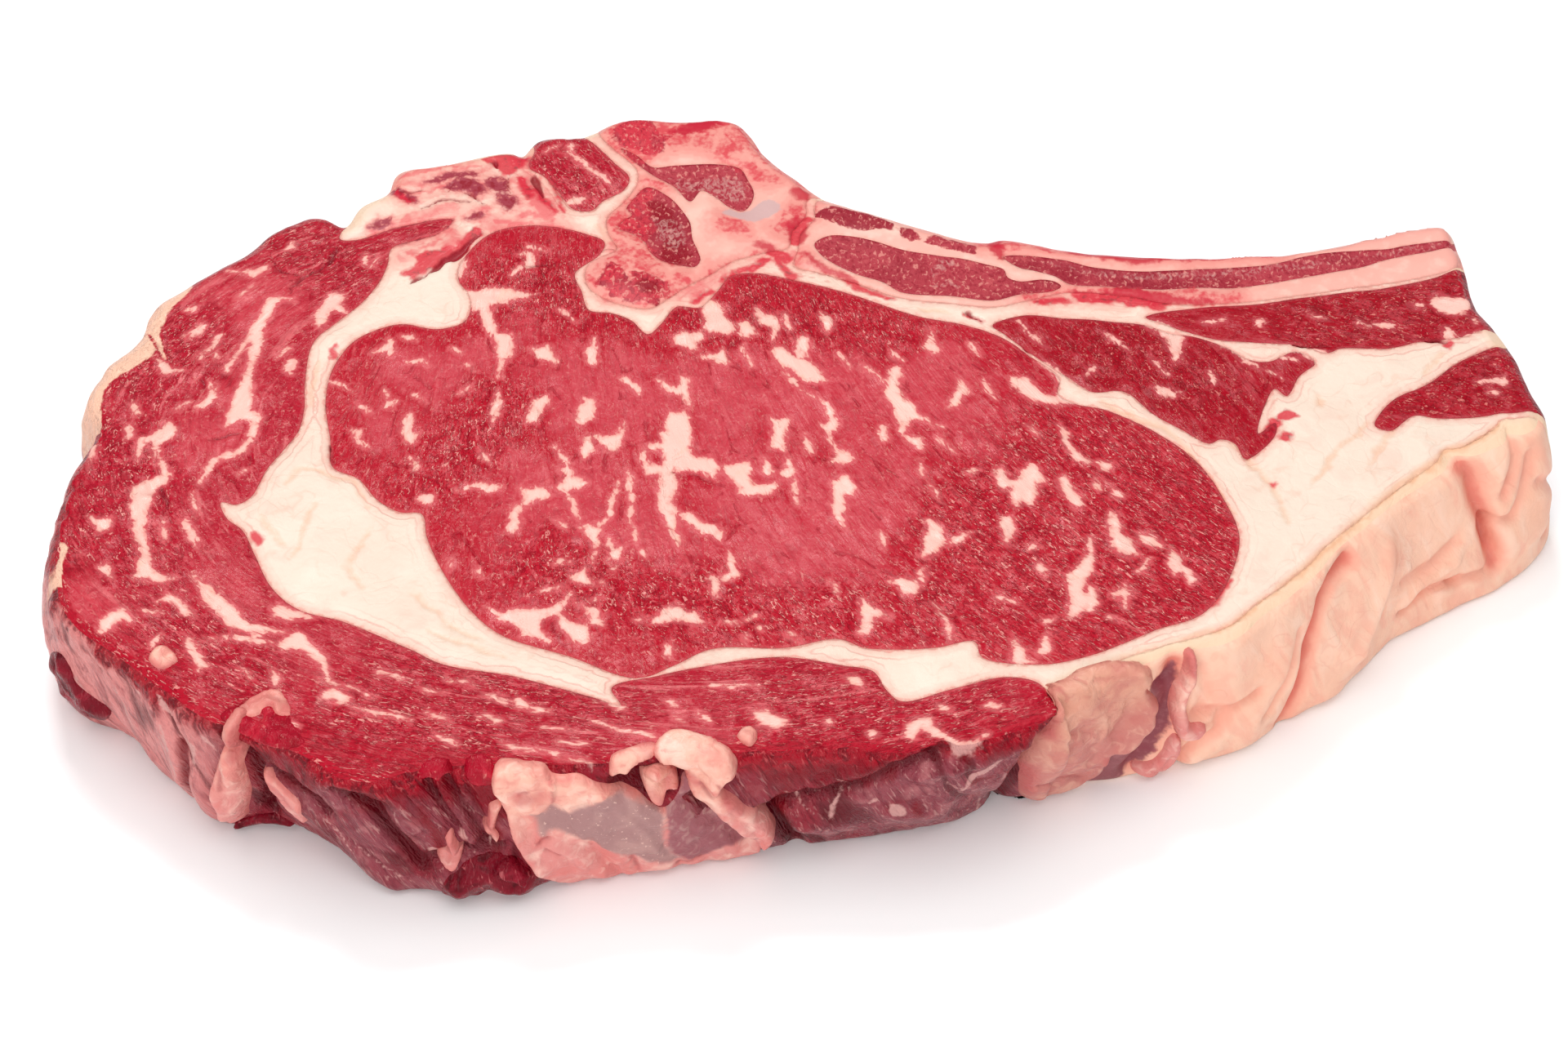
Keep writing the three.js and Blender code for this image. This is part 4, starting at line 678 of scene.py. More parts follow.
spongeShapes = [  # spongy red bone outside the marrow outlines
    (5.5, 60.3, 7.4, 61.8, 9.1, 62.7, 10.9, 62.6, 15.5, 60.5, 20, 58.2, 19.6, 56.2, 15, 55.9, 11.4, 57,
    8.2, 58.2), (24.6, 53.6, 27.3, 55.5, 30, 55, 34.5, 54.1, 35, 53.4, 34.3, 51.2, 31.8, 51.6, 28.2, 52.3),
    (20.6, 56.6, 22, 57.2, 24, 55.8, 24.4, 54, 22.6, 53.8, 21, 55), (-33.6, 43, -32.4, 46, -30.8, 47.8,
    -29.5, 47, -28.2, 45.4, -27.8, 43.4, -28.5, 41.5, -29.5, 39.4, -30.8, 39.8, -31.2, 41.8, -32.8, 42),
    (-28.4, 42, -27, 43.5, -26.5, 45.5, -24.5, 45, -22.5, 44, -20.5, 42.5, -20.2, 40.2, -22, 39.4,
    -22, 37.4, -23.5, 38, -25, 38.8, -26.5, 37.8, -28.5, 38.5, -29, 40.5), (-31.6, 79.6, -31.6, 82.6,
    -29, 85, -25, 84.6, -23.4, 82, -22.6, 80.4, -20.6, 80, -22, 78, -22, 75.4, -25, 74.9, -28, 76.6,
    -30.4, 77.6),
]
tanStrokes = [  # orange lines in the fat
    (1.1, 1.3, 124, 10, 120, 6.5, 115, 2.5, 110, -1, 105, -5, 100, -10), (1.2, 0.8, 100, -10, 93, -17.5,
    88, -22, 84, -25.5, 80, -29.5), (0.8, 0.6, 80, -29.5, 77, -32.5, 73, -35.5, 66, -38.5),
    (0.6, 1.1, 90, -3, 93, 0, 94.8, 4), (0.5, 0.5, 94.8, 4, 101, 10.5), (0.5, 0.4, 104.5, 8, 100, 0.5),
    (1, 0.7, 93, 16, 93.5, 14), (0.6, 0.4, 112, 21, 115.5, 26), (0.5, 0.4, 77, 5, 83, -4, 85, -13),
    (0.9, 1.1, 55, 14.5, 60, 11, 65, 8.2, 68, 5.5), (0.6, 0.5, 68, 5.5, 72, -2, 76, -10),
    (0.7, 0.5, -81.5, 24, -81.8, 14), (0.5, 0.5, -84.5, -5, -83, -1, -79, -1.5, -74, -3.5, -70, -9),
    (0.5, 0.4, -79.5, -9, -81, -15, -82, -20), (0.5, 0.4, -70, -14, -73, -22, -70, -27),
    (0.5, 0.4, -88, -12, -84, -18), (0.7, 0.5, 24, 36.8, 29, 35.5), (0.4, 0.4, -34, 57, -31, 53, -29, 50),
    (0.5, 0.4, -62, -28, -55, -35, -50, -38), (0.4, 0.4, -58, -36, -46, -42),
]
crackStrokes = [  # clefts in the cut face, sunk in and painted dark as their shade
    (1.4, 0.6, -105.7, -5.5, -104.6, -9, -104, -12), (0.6, 0.3, -77.8, 5, -77.2, 0.4), (0.5, 0.2, -8.8, 30,
    -9.8, 26, -7, 20), (0.35, 0.2, -4, 9.5, -4.6, 5, -5.6, 2), (0.35, 0.2, -19, -1.5, -14, -2.2, -11, -5),
    (1.6, 0.9, -45.2, 70, -45, 66.5, -43.7, 64), (1.5, 1, -64, 45, -60.5, 48, -57.5, 51.5, -54, 55),
    (0.8, 0.5, -67, 43, -64, 45), (0.8, 0.5, -46, 46.5, -42, 47.5), (0.5, 0.3, -43.5, 45.5, -42.8, 43.5),
    (0.9, 0.4, -101.5, 20, -101, 18), (0.7, 0.4, -99, 5, -94, 7.5), (0.5, 0.3, -91.5, 2.5, -91.2, -0.5),
    (0.8, 0.4, 116.8, 29.2, 112, 29), (0.8, 0.4, 89.4, 28.5, 95, 27.6), (0.5, 0.3, 41.5, 27, 43.4, 25.3),
    (1.2, 0.6, -52.6, 71.8, -53.2, 74.6), (0.5, 0.3, -60, 67.5, -61, 65.4), (0.5, 0.3, -58, 64.8,
    -54.4, 62.6), (0.5, 0.3, -66, 61.6, -61.5, 63.8, -57, 62.6), (0.5, 0.3, -50.4, 70, -50.2, 65.6),
    (0.4, 0.3, -70.5, 66, -66, 66.8), (1.1, 0.8, -80.2, 52.3, -81, 50, -83, 47.7), (0.9, 0.5, -83, 47.7,
    -85.5, 45.5, -88.4, 40.5), (0.8, 0.5, -86.5, 45, -89.7, 46.4, -91.4, 48.2, -91.9, 50),
    (0.6, 0.4, 32, 36, 35.2, 33.6),
]
roughStrokes = [  # where the knife tore the grain
    (26, 22, 62, -22, 66, -12, 60, -4), (24, 18, 44, -22, 52, -30), (18, 12, 36, -10, 30, -20),
    (12, 8, 44, 4, 54, 6), (10, 8, 24, -30, 34, -34), (8, 6, -50, 12, -60, -2), (9, 6, -10, -30, -30, -28),
    (12, 8, -118, 2, -120, -16), (10, 8, -106, 30, -112, 20), (12, 10, -70, -54, -50, -58), (12, 10, 0, -52,
    30, -54), (10, 8, -100, -36, -88, -46), (12, 8, 58, 26, 72, 18), (9, 9, 95, 34, 116, 37),
    (8, 6, -80, 48, -88, 54), (8, 8, -40, 70, -38, 66), (10, 8, 110, 20, 122, 20), (9, 7, -48, 42, -28, 40,
    -14, 33), (8, 7, -40, -22, -20, -31, 12, -33), (7, 6, -6, 36, 18, 32), (8, 6, -112, 2, -106, -24),
    (7, 6, -60, -44, -30, -52),
]
fleshShapes = [  # shreds of muscle in the fat beside the backbone
    (-61, 68, -59.5, 69.8, -57, 69.5, -55, 67.5, -54.5, 65, -56, 64, -58, 65.5, -60.5, 66, -62, 66.5),
    (-53.7, 69.8, -50.5, 69.1, -50.5, 65.5, -52.4, 65.2, -54, 66.4, -54.6, 68.2), (-52.8, 64.8, -50.5, 65,
    -48.5, 64.5, -48.5, 62.7, -49.6, 60.9, -51, 61.4, -52.4, 63.2), (-57.6, 58.6, -56.2, 60, -53.7, 60.5,
    -54.6, 58.6, -57, 58.4), (-75.2, 57.3, -73.8, 58.6, -71.3, 59.5, -71.1, 57.7, -72.9, 56.6),
    (-77.5, 50.9, -74.3, 54.5, -69.7, 56.8, -62, 58.2, -60, 58.6, -60, 57, -62, 55, -66, 53.6, -70.6, 52.3,
    -73.8, 52.3), (-66, 68.2, -62, 70.6, -58, 71.2, -55.5, 71, -56, 69.8, -60, 69.6, -63, 68), (-72.5, 67.6,
    -70.5, 67.5, -67.5, 65, -66.5, 63, -68, 62.6, -70, 64.5, -72, 65.8),
]
rawShapes = [  # raw torn meat there
    (-55.5, 75, -54.6, 75.9, -52.8, 76.8, -50, 77, -47, 76, -46.7, 74.5, -47.8, 73.6, -48.7, 72.3, -50, 70,
    -51.5, 70.5, -52.8, 71.8, -53.7, 72.7), (-66.5, 47.5, -64.5, 50.4, -61, 51.2, -59.5, 49.5, -61, 47.4,
    -63.5, 46.2, -65.5, 45.6), (-48.8, 69.8, -47.6, 70, -46.6, 67.5, -45.4, 64.2, -46.5, 63.6, -47.8, 66),
]
cartilageShapes = [
    (-11.5, 60, -10, 61.3, -8, 60.6, -6, 61, -4.5, 63.2, -2.5, 63.6, -0.8, 62.3, -0.5, 61, -2.5, 59.4,
    -5, 57.8, -8, 58.4),
]
coreShapes = [  # the darkest red of the bones
    (-24.5, 63, -22.5, 63.6, -20, 60.5, -19.2, 57.4, -21, 57, -22.8, 59, -24, 61), (-21, 81.4, -18.4, 83.6,
    -15.5, 85.4, -12.5, 85, -11.4, 83.4, -13, 82.2, -15.5, 81.6, -18, 80.6), (-22.4, 52, -21, 54, -18, 53,
    -16.4, 50, -17, 47.6, -20, 47.4, -22, 49), (-26.4, 42.6, -25, 43.8, -22.6, 43, -22, 41, -24, 40.2,
    -26, 40.8),
]
paintedGleamShapes = [  # painted highlight: where a grey gleam is painted on the marrow's pale struts
    (-21, 68.6, -17, 68.4, -12, 70, -8, 69, -6.4, 66, -8, 63.4, -11, 63.6, -14, 66, -17, 66, -19.4, 66.6),
    (-23, 59, -20.4, 58.6, -18, 57, -17, 53, -18.6, 51, -21.6, 52.4, -22.6, 55), (25.4, 46, 27, 48,
    30, 49.8, 31, 48.4, 28.6, 46.6, 27, 45), (25, 43, 28, 43.8, 32, 43.6, 31.6, 42.8), (47, 48.6, 60, 45.6,
    76, 46, 92, 48, 110, 50.2, 120, 52.8, 108, 50.6, 90, 46.4, 74, 44.8, 60, 44.6),
]

flat = np.column_stack([spots, np.zeros(spotCount)])
uneven = np.stack([
    0.8 * smoothNoise(flat, 3.1, seed) + 0.45 * smoothNoise(flat, 1.4, seed + 1) for seed in (31, 41)], 1)
fatStrokes = strokeField(spots + 0.6 * uneven, eyeMarbling + capMarbling + otherMarbling, taper=0.6)
fatShapes = shapeField(spots + 0.35 * uneven, eyeShapes + capShapes + otherShapes)
fatField = np.maximum(fatStrokes, fatShapes + 0.15) + 0.25 * smoothNoise(flat, 1.8, 51)
bloodField = strokeField(spots + uneven, bloodStrokes)
bloodField = np.maximum(bloodField, shapeField(spots + 0.6 * uneven, rawShapes))
spongeField = shapeField(spots + 0.5 * uneven, spongeShapes)
tanField = strokeField(spots + 0.8 * uneven, tanStrokes, taper=0.9)
roughShare = softStep(-9, 4, strokeField(spots, roughStrokes, -10))
fadingFields = {  # marks that run on down the wall for a few millimetres
    "glow": strokeField(spots + uneven, glowStrokes, -6),
    "flesh": shapeField(spots + 0.6 * uneven, fleshShapes),
    "crack": strokeField(spots + 0.9 * uneven, crackStrokes, taper=0.8),
    "cartilage": shapeField(spots + 0.4 * uneven, cartilageShapes),
    "core": shapeField(spots + 0.7 * uneven, coreShapes),
    "paintedGleam": shapeField(spots + uneven, paintedGleamShapes),
}


# run of the muscle grain at each point, across it and along it in mm
def eyeGrain(x, y):
    return np.stack([x + 0.9 * y * (x + 50) / 110, y], 1)


def capGrain(x, y):
    away, angle = np.hypot(x + 15, (y - 8) * 1.55), np.arctan2((y - 8) * 1.55, x + 15)
    return np.stack([away * 0.85, np.where(angle > 1, angle - 2 * np.pi, angle) * 62], 1)


def sideGrain(x, y):
    return np.stack([x * 0.86 + y * 0.5, y * 0.86 - x * 0.5], 1)


def flatGrain(x, y):
    return np.stack([y * 0.97 + x * 0.24, x * 0.97 - y * 0.24], 1)


grains = {"eye_muscle": eyeGrain, "cap_muscle": capGrain, "side_muscle": sideGrain, "back_muscle": sideGrain,
          "rib_muscle": flatGrain, "flank_muscle": flatGrain}
crowns = {"eye_muscle": 0.3, "cap_muscle": 0.3, "side_muscle": 0.3, "rib_muscle": 0.3, "flank_muscle": 0.3,
          "back_muscle": 0.3, "chine_bone": 0.7, "rib_bone": 0.7, "chine_marrow": -0.3, "joint_marrow": -0.3,
          "rib_marrow": -0.35, "neck_marrow": -0.3, "kernel_fat": 0.35, "seam_fat": 0.15, "fat_cap": 0.2}

# height of the cut face at each point
x, y = spots.T
ownLabel = np.zeros(spotCount, int)
ownLabel[faces.ravel()] = np.repeat(label, 3)
crown = np.array([crowns[name] for name in pieceNames])[ownLabel]
grain = np.zeros((spotCount, 2))
isMeat = np.zeros(spotCount, bool)
for name, shape in grains.items():
    own = ownLabel == pieceNames.index(name)
    grain[own] = shape(x[own], y[own])
    isMeat |= own
height = thickness + slab["wave"] * np.sin(x / slab["waveX"]) * np.cos(y / slab["waveY"])
height += crown * (1 - np.exp(-seamDistance / slab["crownReach"]))
height += 0.28 * smoothNoise(flat, 11, 1) + 0.14 * smoothNoise(flat, 4.7, 2)
grainPlace = np.stack([grain[:, 0] / 2.1, grain[:, 1] / 7, np.zeros(spotCount)], 1)
grainFine = np.stack([grain[:, 0] / 1.15, grain[:, 1] / 3.4, np.zeros(spotCount)], 1)
away = softStep(0, 1.5, seamDistance)
bundles = 0.17 * smoothNoise(grainPlace, 1, 5) + 0.09 * smoothNoise(grainFine, 1, 6)
height += np.where(isMeat, bundles * away, 0)
torn = 0.42 * smoothNoise(flat, 2.6, 7) + 0.3 * smoothNoise(flat, 1.5, 8)
height += np.where(isMeat, torn * roughShare * away, 0)
marbled = 0.12 * softStep(-0.3, 0.5, fatField) - 0.06 * np.exp(-(seamDistance / 0.7) ** 2)
height += np.where(isMeat, marbled, 0)
height -= slab["crackDepth"] * softStep(-0.5, 0.5, fadingFields["crack"])
height -= slab["tanDepth"] * softStep(-0.4, 0.4, tanField)
height -= slab["rimDrop"] * np.clip(1 - rimDistance / slab["dropReach"], 0, 1) ** 2

# the rim, the wall and the foot


def edgeShift(levels, reach):
    # how far the wall stands out beside each point, fading inwards
    edge = rimDistance < reach
    place = np.stack([rimRun[rimNear[edge]], levels[edge]], 1)
    moved = wallPoint(place, height[edge])[:, :2] - rim[rimNear[edge], :2]
    fade = (1 - rimDistance[edge] / reach) ** 2
    shift = np.zeros((spotCount, 2))
    shift[edge] = moved * fade[:, None]
    return shift


wallTop = np.full(spotCount, thickness)
wallTop[rimSpots] = height[rimSpots]
topPoints = np.column_stack([spots + edgeShift(wallTop, slab["rimReach"]), height])
ground = np.zeros(spotCount)
footPoints = np.column_stack([spots + edgeShift(ground, slab["footReach"]), ground])
shares = np.arange(1, slab["rows"]) / slab["rows"]
wallRun = np.repeat(rimRun[rimNear[rimSpots]], len(shares))
wallHigh = (height[rimSpots][:, None] * shares).ravel()
wallTopHigh = np.repeat(height[rimSpots], len(shares))
wallSpots = np.stack([wallRun, wallHigh], 1)
wallPoints = wallPoint(wallSpots, wallTopHigh)
allPoints = np.vstack([topPoints, footPoints, wallPoints])
print("wall shaped:", len(wallPoints), "points")

# marks on the front wall: start width, end width, then x and height in turn
wallFlecks = [  # pale strings and flecks of fat
    (1.6, 1.2, -84.6, 21, -79.9, 10), (1.4, 1, -52.8, 18, -52.2, 15), (1.6, 1, -57.2, 13, -56.5, 10),
    (1.2, 0.8, -110, 20, -108.5, 12), (0.8, 0.6, -103, 18, -100, 6), (0.8, 0.5, -118, 16, -116, 8),
    (0.6, 0.5, 0, 20, 5, 14), (0.6, 0.5, 8, 22, 12, 17), (0.6, 0.4, 16, 12, 22, 6), (0.5, 0.4, 27, 20,
    31, 12), (0.6, 0.4, -70, 12, -62, 4), (0.7, 0.5, -75, 16, -70, 8), (1, 0.7, -47.5, 20, -48, 12),
    (2, 1.2, 29.7, 16, 31.7, 20.5, 34.7, 22.5, 38.6, 24.5, 43.8, 27), (0.9, 0.7, 36.7, 15, 37.3, 17.8),
    (0.9, 0.6, 34.8, 8.8, 36.7, 10), (0.9, 0.7, 34.2, 0.5, 34.9, 5.8), (2.4, 1.8, 17.1, 15, 19.9, 12),
    (1, 0.7, 13.2, 15, 15.2, 16.5), (1.1, 0.7, 7, 12, 9.6, 18), (1.4, 1, -104.1, 30, -101.9, 28.6,
    -99.4, 26.5, -97.6, 23.8, -95.7, 22.2, -95.5, 16.2), (1.6, 1, -100.8, 23.2, -100.6, 19, -100.3, 14.2,
    -99.7, 8.2), (1.1, 0.8, -94.7, 26, -92.1, 23.5), (1.8, 1.6, -110.4, 21.5, -110, 21),
    (1.4, 1.2, -106, 25.5, -105.6, 25), (0.8, 0.5, 26, 30, 36, 30),
]
wallFlows = [  # deep red clefts and raw lumps
    (2.5, 1, -82, 21, -75, 20), (2.4, 1, -70.5, 27, -63.8, 20), (3, 1.4, -87, 24, -85, 6),
    (2.5, 1, 45.4, 29, 43, 22, 40.6, 10), (2, 0.8, 40.6, 10, 38, 3), (2.6, 1.6, 61.5, 25.5, 62.2, 22),
    (3, 2, -20, 29, -13, 22), (2, 1, -58, 24, -55, 8), (2, 1, -2, 8, 1, 24), (1.6, 0.8, -46, 26, -47, 8),
    (1.4, 1, 21.5, 15.2, 22.4, 10), (1.4, 1, 31.2, 18, 34.1, 18), (1.2, 1, 55.9, 7.2, 62, 6),
    (1.8, 1, -97.8, 21, -98, 15.5, -98.5, 8, -99.3, 1), (2.6, 1.6, 42.2, 29.5, 43.9, 30, 46.9, 23.2),
]
wallSolid = np.column_stack([wallSpots, np.zeros(len(wallSpots))])
wallUneven = 0.6 * np.stack([smoothNoise(wallSolid, 3, seed) for seed in (71, 73)], 1)


def placedStrokes(strokes):
    # strokes drawn as x and height, with run along the edge instead of x
    return [(start, end, *wallPlace(path).ravel()) for start, end, *path in strokes]


def wallField(strokes):
    return strokeField(wallSpots + wallUneven, placedStrokes(strokes), taper=0.7)


def foldField(place):
    # how deep a place lies in the wall's clefts, from 0 to about 1.5
    deepest = np.zeros(len(place))
    for depth, width, path in foldPaths:
        if depth < 0:
            deepest = np.maximum(deepest, -0.5 * depth * np.exp(-(pathDistance(place, path) / width) ** 2))
    return deepest


wallDepth = wallTopHigh - wallHigh
rimOfWall = np.repeat(rimSpots, len(shares))
fade = 0.25 * wallDepth


def everywhere(top, wall):
    # a field over all points: cut face, underside, wall
    return np.concatenate([top, top, wall])


# fat on the outer rim of the cap, drawn from above
rimFat = [
    (-106, 44.6, -108.7, 42, -111.5, 38.5, -113.2, 35.5, -113.6, 32.1, -111.9, 30.6, -110.1, 27.7,
    -108.7, 24.3, -107.9, 24, -109.1, 27.2, -109.8, 29.6, -110.1, 32.6, -109.5, 35, -108.3, 37.5,
    -107.1, 40, -106.2, 42.3), (-113, 32, -115.5, 29.6, -117.4, 26.7, -119, 23.8, -120.6, 20.9, -122, 18.5,
    -122.5, 15.6, -121.5, 12, -120, 7.5, -117.9, 7.5, -118.4, 12.5, -118.1, 16.1, -117.4, 18.5, -116, 20.4,
    -114.2, 21.4, -112.6, 22.8, -111.3, 24.3, -110.4, 25.7, -110.1, 26.7, -111.1, 28.7, -112.3, 30.3),
    (-122.5, -17, -120.2, -18, -120.8, -27, -122.6, -26),
]
peachField = np.max([insideDistance(spots, pairs(outline)) for outline in rimFat], axis=0)
peachField = np.maximum(peachField, farOutside)

# the grey film on the wall: its upper border drawn as x and height, and the window beside the right flap
filmTop = wallPlace([
    -122, 22, -118.7, 28.5, -116.5, 25, -112.5, 24.2, -109.1, 25.2, -103.9, 27.8, -99.6, 28, -94.1, 28.8,
    -90.6, 28.2, -85.6, 25.2, -81.2, 23.8, -76.3, 22.8, -71.8, 28.2, -67.6, 29.2, -63.8, 28.4, -60, 26,
    -54, 23, -47, 20, -24, 14, -14, 19, -8, 26.5, -3, 27.2, -0.5, 26.2, 3, 23, 5.5, 19.4, 8, 18.4,
    10.6, 18.6, 14.2, 19.8, 15.7, 23.4, 18.1, 25.4, 21.6, 27.4, 26.1, 28.8, 31.5, 29.4, 35.9, 29.6,
    42, 28.6, 46, 26, 47.5, -6, 57, -6, 120, -6,
])
filmWindow = wallPlace([
    64.8, 26.8, 64.2, 20.5, 63.9, 17, 63.9, 12.8, 63, 10.5, 62, 6, 60, 4, 57.6, 2.5, 57.1, 0.8, 51, -2,
    51, 7, 52, 11, 55, 13, 57, 16, 58, 20, 59.4, 22, 60, 24, 61.4, 26, 63, 26.8,
])
filmField = np.interp(wallRun, filmTop[:, 0], filmTop[:, 1], left=24, right=-6) - wallHigh
filmField = np.maximum(np.clip(filmField, farOutside, 12), insideDistance(wallSpots, filmWindow))
filmField[alongRim(wallRun, rimOut[:, 1]) > 0.3] = farOutside  # none on the backbone's side
fields = {name: everywhere(field, field[rimOfWall] - fade) for name, field in fadingFields.items()}
fields |= {
    "fat": everywhere(fatField, np.maximum(fatField[rimOfWall] - fade, wallField(wallFlecks))),
    "blood": everywhere(bloodField, np.maximum(bloodField[rimOfWall] - fade, wallField(wallFlows))),
    "sponge": everywhere(spongeField, spongeField[rimOfWall]),
    "tan": everywhere(tanField, np.full(len(wallPoints), farOutside)),
    "groove": everywhere(np.zeros(spotCount), grooveOf(wallSpots)),
    "fold": everywhere(np.zeros(spotCount), foldField(wallSpots)),
    "seam": everywhere(np.minimum(seamDistance, 12), np.minimum(seamDistance[rimOfWall], 12)),
    "rough": everywhere(roughShare, np.ones(len(wallPoints))),
    "rim": everywhere(np.minimum(rimDistance, 12), np.zeros(len(wallPoints))),
    "depth": everywhere(np.zeros(spotCount), wallDepth),
    "peach": everywhere(peachField, peachField[rimOfWall] - 0.12 * wallDepth),
    "film": everywhere(np.full(spotCount, farOutside), filmField),
}
acrossWall, upWall = allPoints[:, 0], allPoints[:, 2]
slanted = [acrossWall * 0.9 + upWall * 0.42, upWall * 0.9 - acrossWall * 0.42, allPoints[:, 1]]
fields["side"] = np.stack(slanted, 1)
print("fields drawn")


def framePoints(points):
    # from millimetres in the drawing to metres in the frame
    return (points - np.array([*slab["centre"], 0])) * mm


def buildMesh(name, points, faces, values, flat=(), wall=()):
    # a new piece from points in the drawing; flat and wall mark the faces of the seams and of the side
    mesh = bpy.data.meshes.new(name)
    mesh.from_pydata(framePoints(points).tolist(), [], faces)
    smooth = np.ones(len(faces), bool)
    smooth[list(flat)] = False
    mesh.polygons.foreach_set("use_smooth", smooth)
    material = np.zeros(len(faces), np.int32)
    material[list(wall)] = 1
    mesh.polygons.foreach_set("material_index", material)
    for field, value in values.items():
        kind = "FLOAT" if value.ndim == 1 else "FLOAT_VECTOR"
        layer = mesh.attributes.new(field, kind, "POINT")
        layer.data.foreach_set("value" if value.ndim == 1 else "vector", value.astype(np.float32).ravel())
    mesh.update()
    piece = bpy.data.objects.new(name, mesh)
    bpy.context.scene.collection.objects.link(piece)
    return piece


def columnOf(spot):
    # the points of the wall under a point of the rim, from the foot up
    start = 2 * spotCount + rank[spot] * len(shares)
    return list(range(start, start + len(shares))) if rank[spot] >= 0 else []


outerCodes = set((outerSides[:, 0].astype(np.int64) * spotCount + outerSides[:, 1]).tolist())


def slicePiece(name):
    own = faces[label == pieceNames.index(name)]
    found = own.tolist() + (own[:, ::-1] + spotCount).tolist()
    flat, wall = [], []
    for a, b in borderOf(own).tolist():
        if a * spotCount + b in outerCodes:
            left = [a + spotCount] + columnOf(a) + [a]
            right = [b + spotCount] + columnOf(b) + [b]
            wall += range(len(found), len(found) + len(left) - 1)
            found += [list(quad) for quad in zip(left[:-1], right[:-1], right[1:], left[1:])]
        else:
            flat.append(len(found))
            found.append([a + spotCount, b + spotCount] + columnOf(b) + [b, a] + columnOf(a)[::-1])
    corners = np.unique([corner for face in found for corner in face])
    place = np.full(len(allPoints), -1)
    place[corners] = np.arange(len(corners))
    renamed = [[int(place[corner]) for corner in face] for face in found]
    values = {field: value[corners] for field, value in fields.items()}
    values["grain"] = allPoints[corners]
    if name in grains:
        values["grain"][:, :2] = grains[name](*allPoints[corners, :2].T)
    return buildMesh(name + "_cut", allPoints[corners], renamed, values, flat, wall)


pieces = {name: slicePiece(name) for name in pieceNames}
print("pieces:", {name: len(piece.data.polygons) for name, piece in pieces.items()})


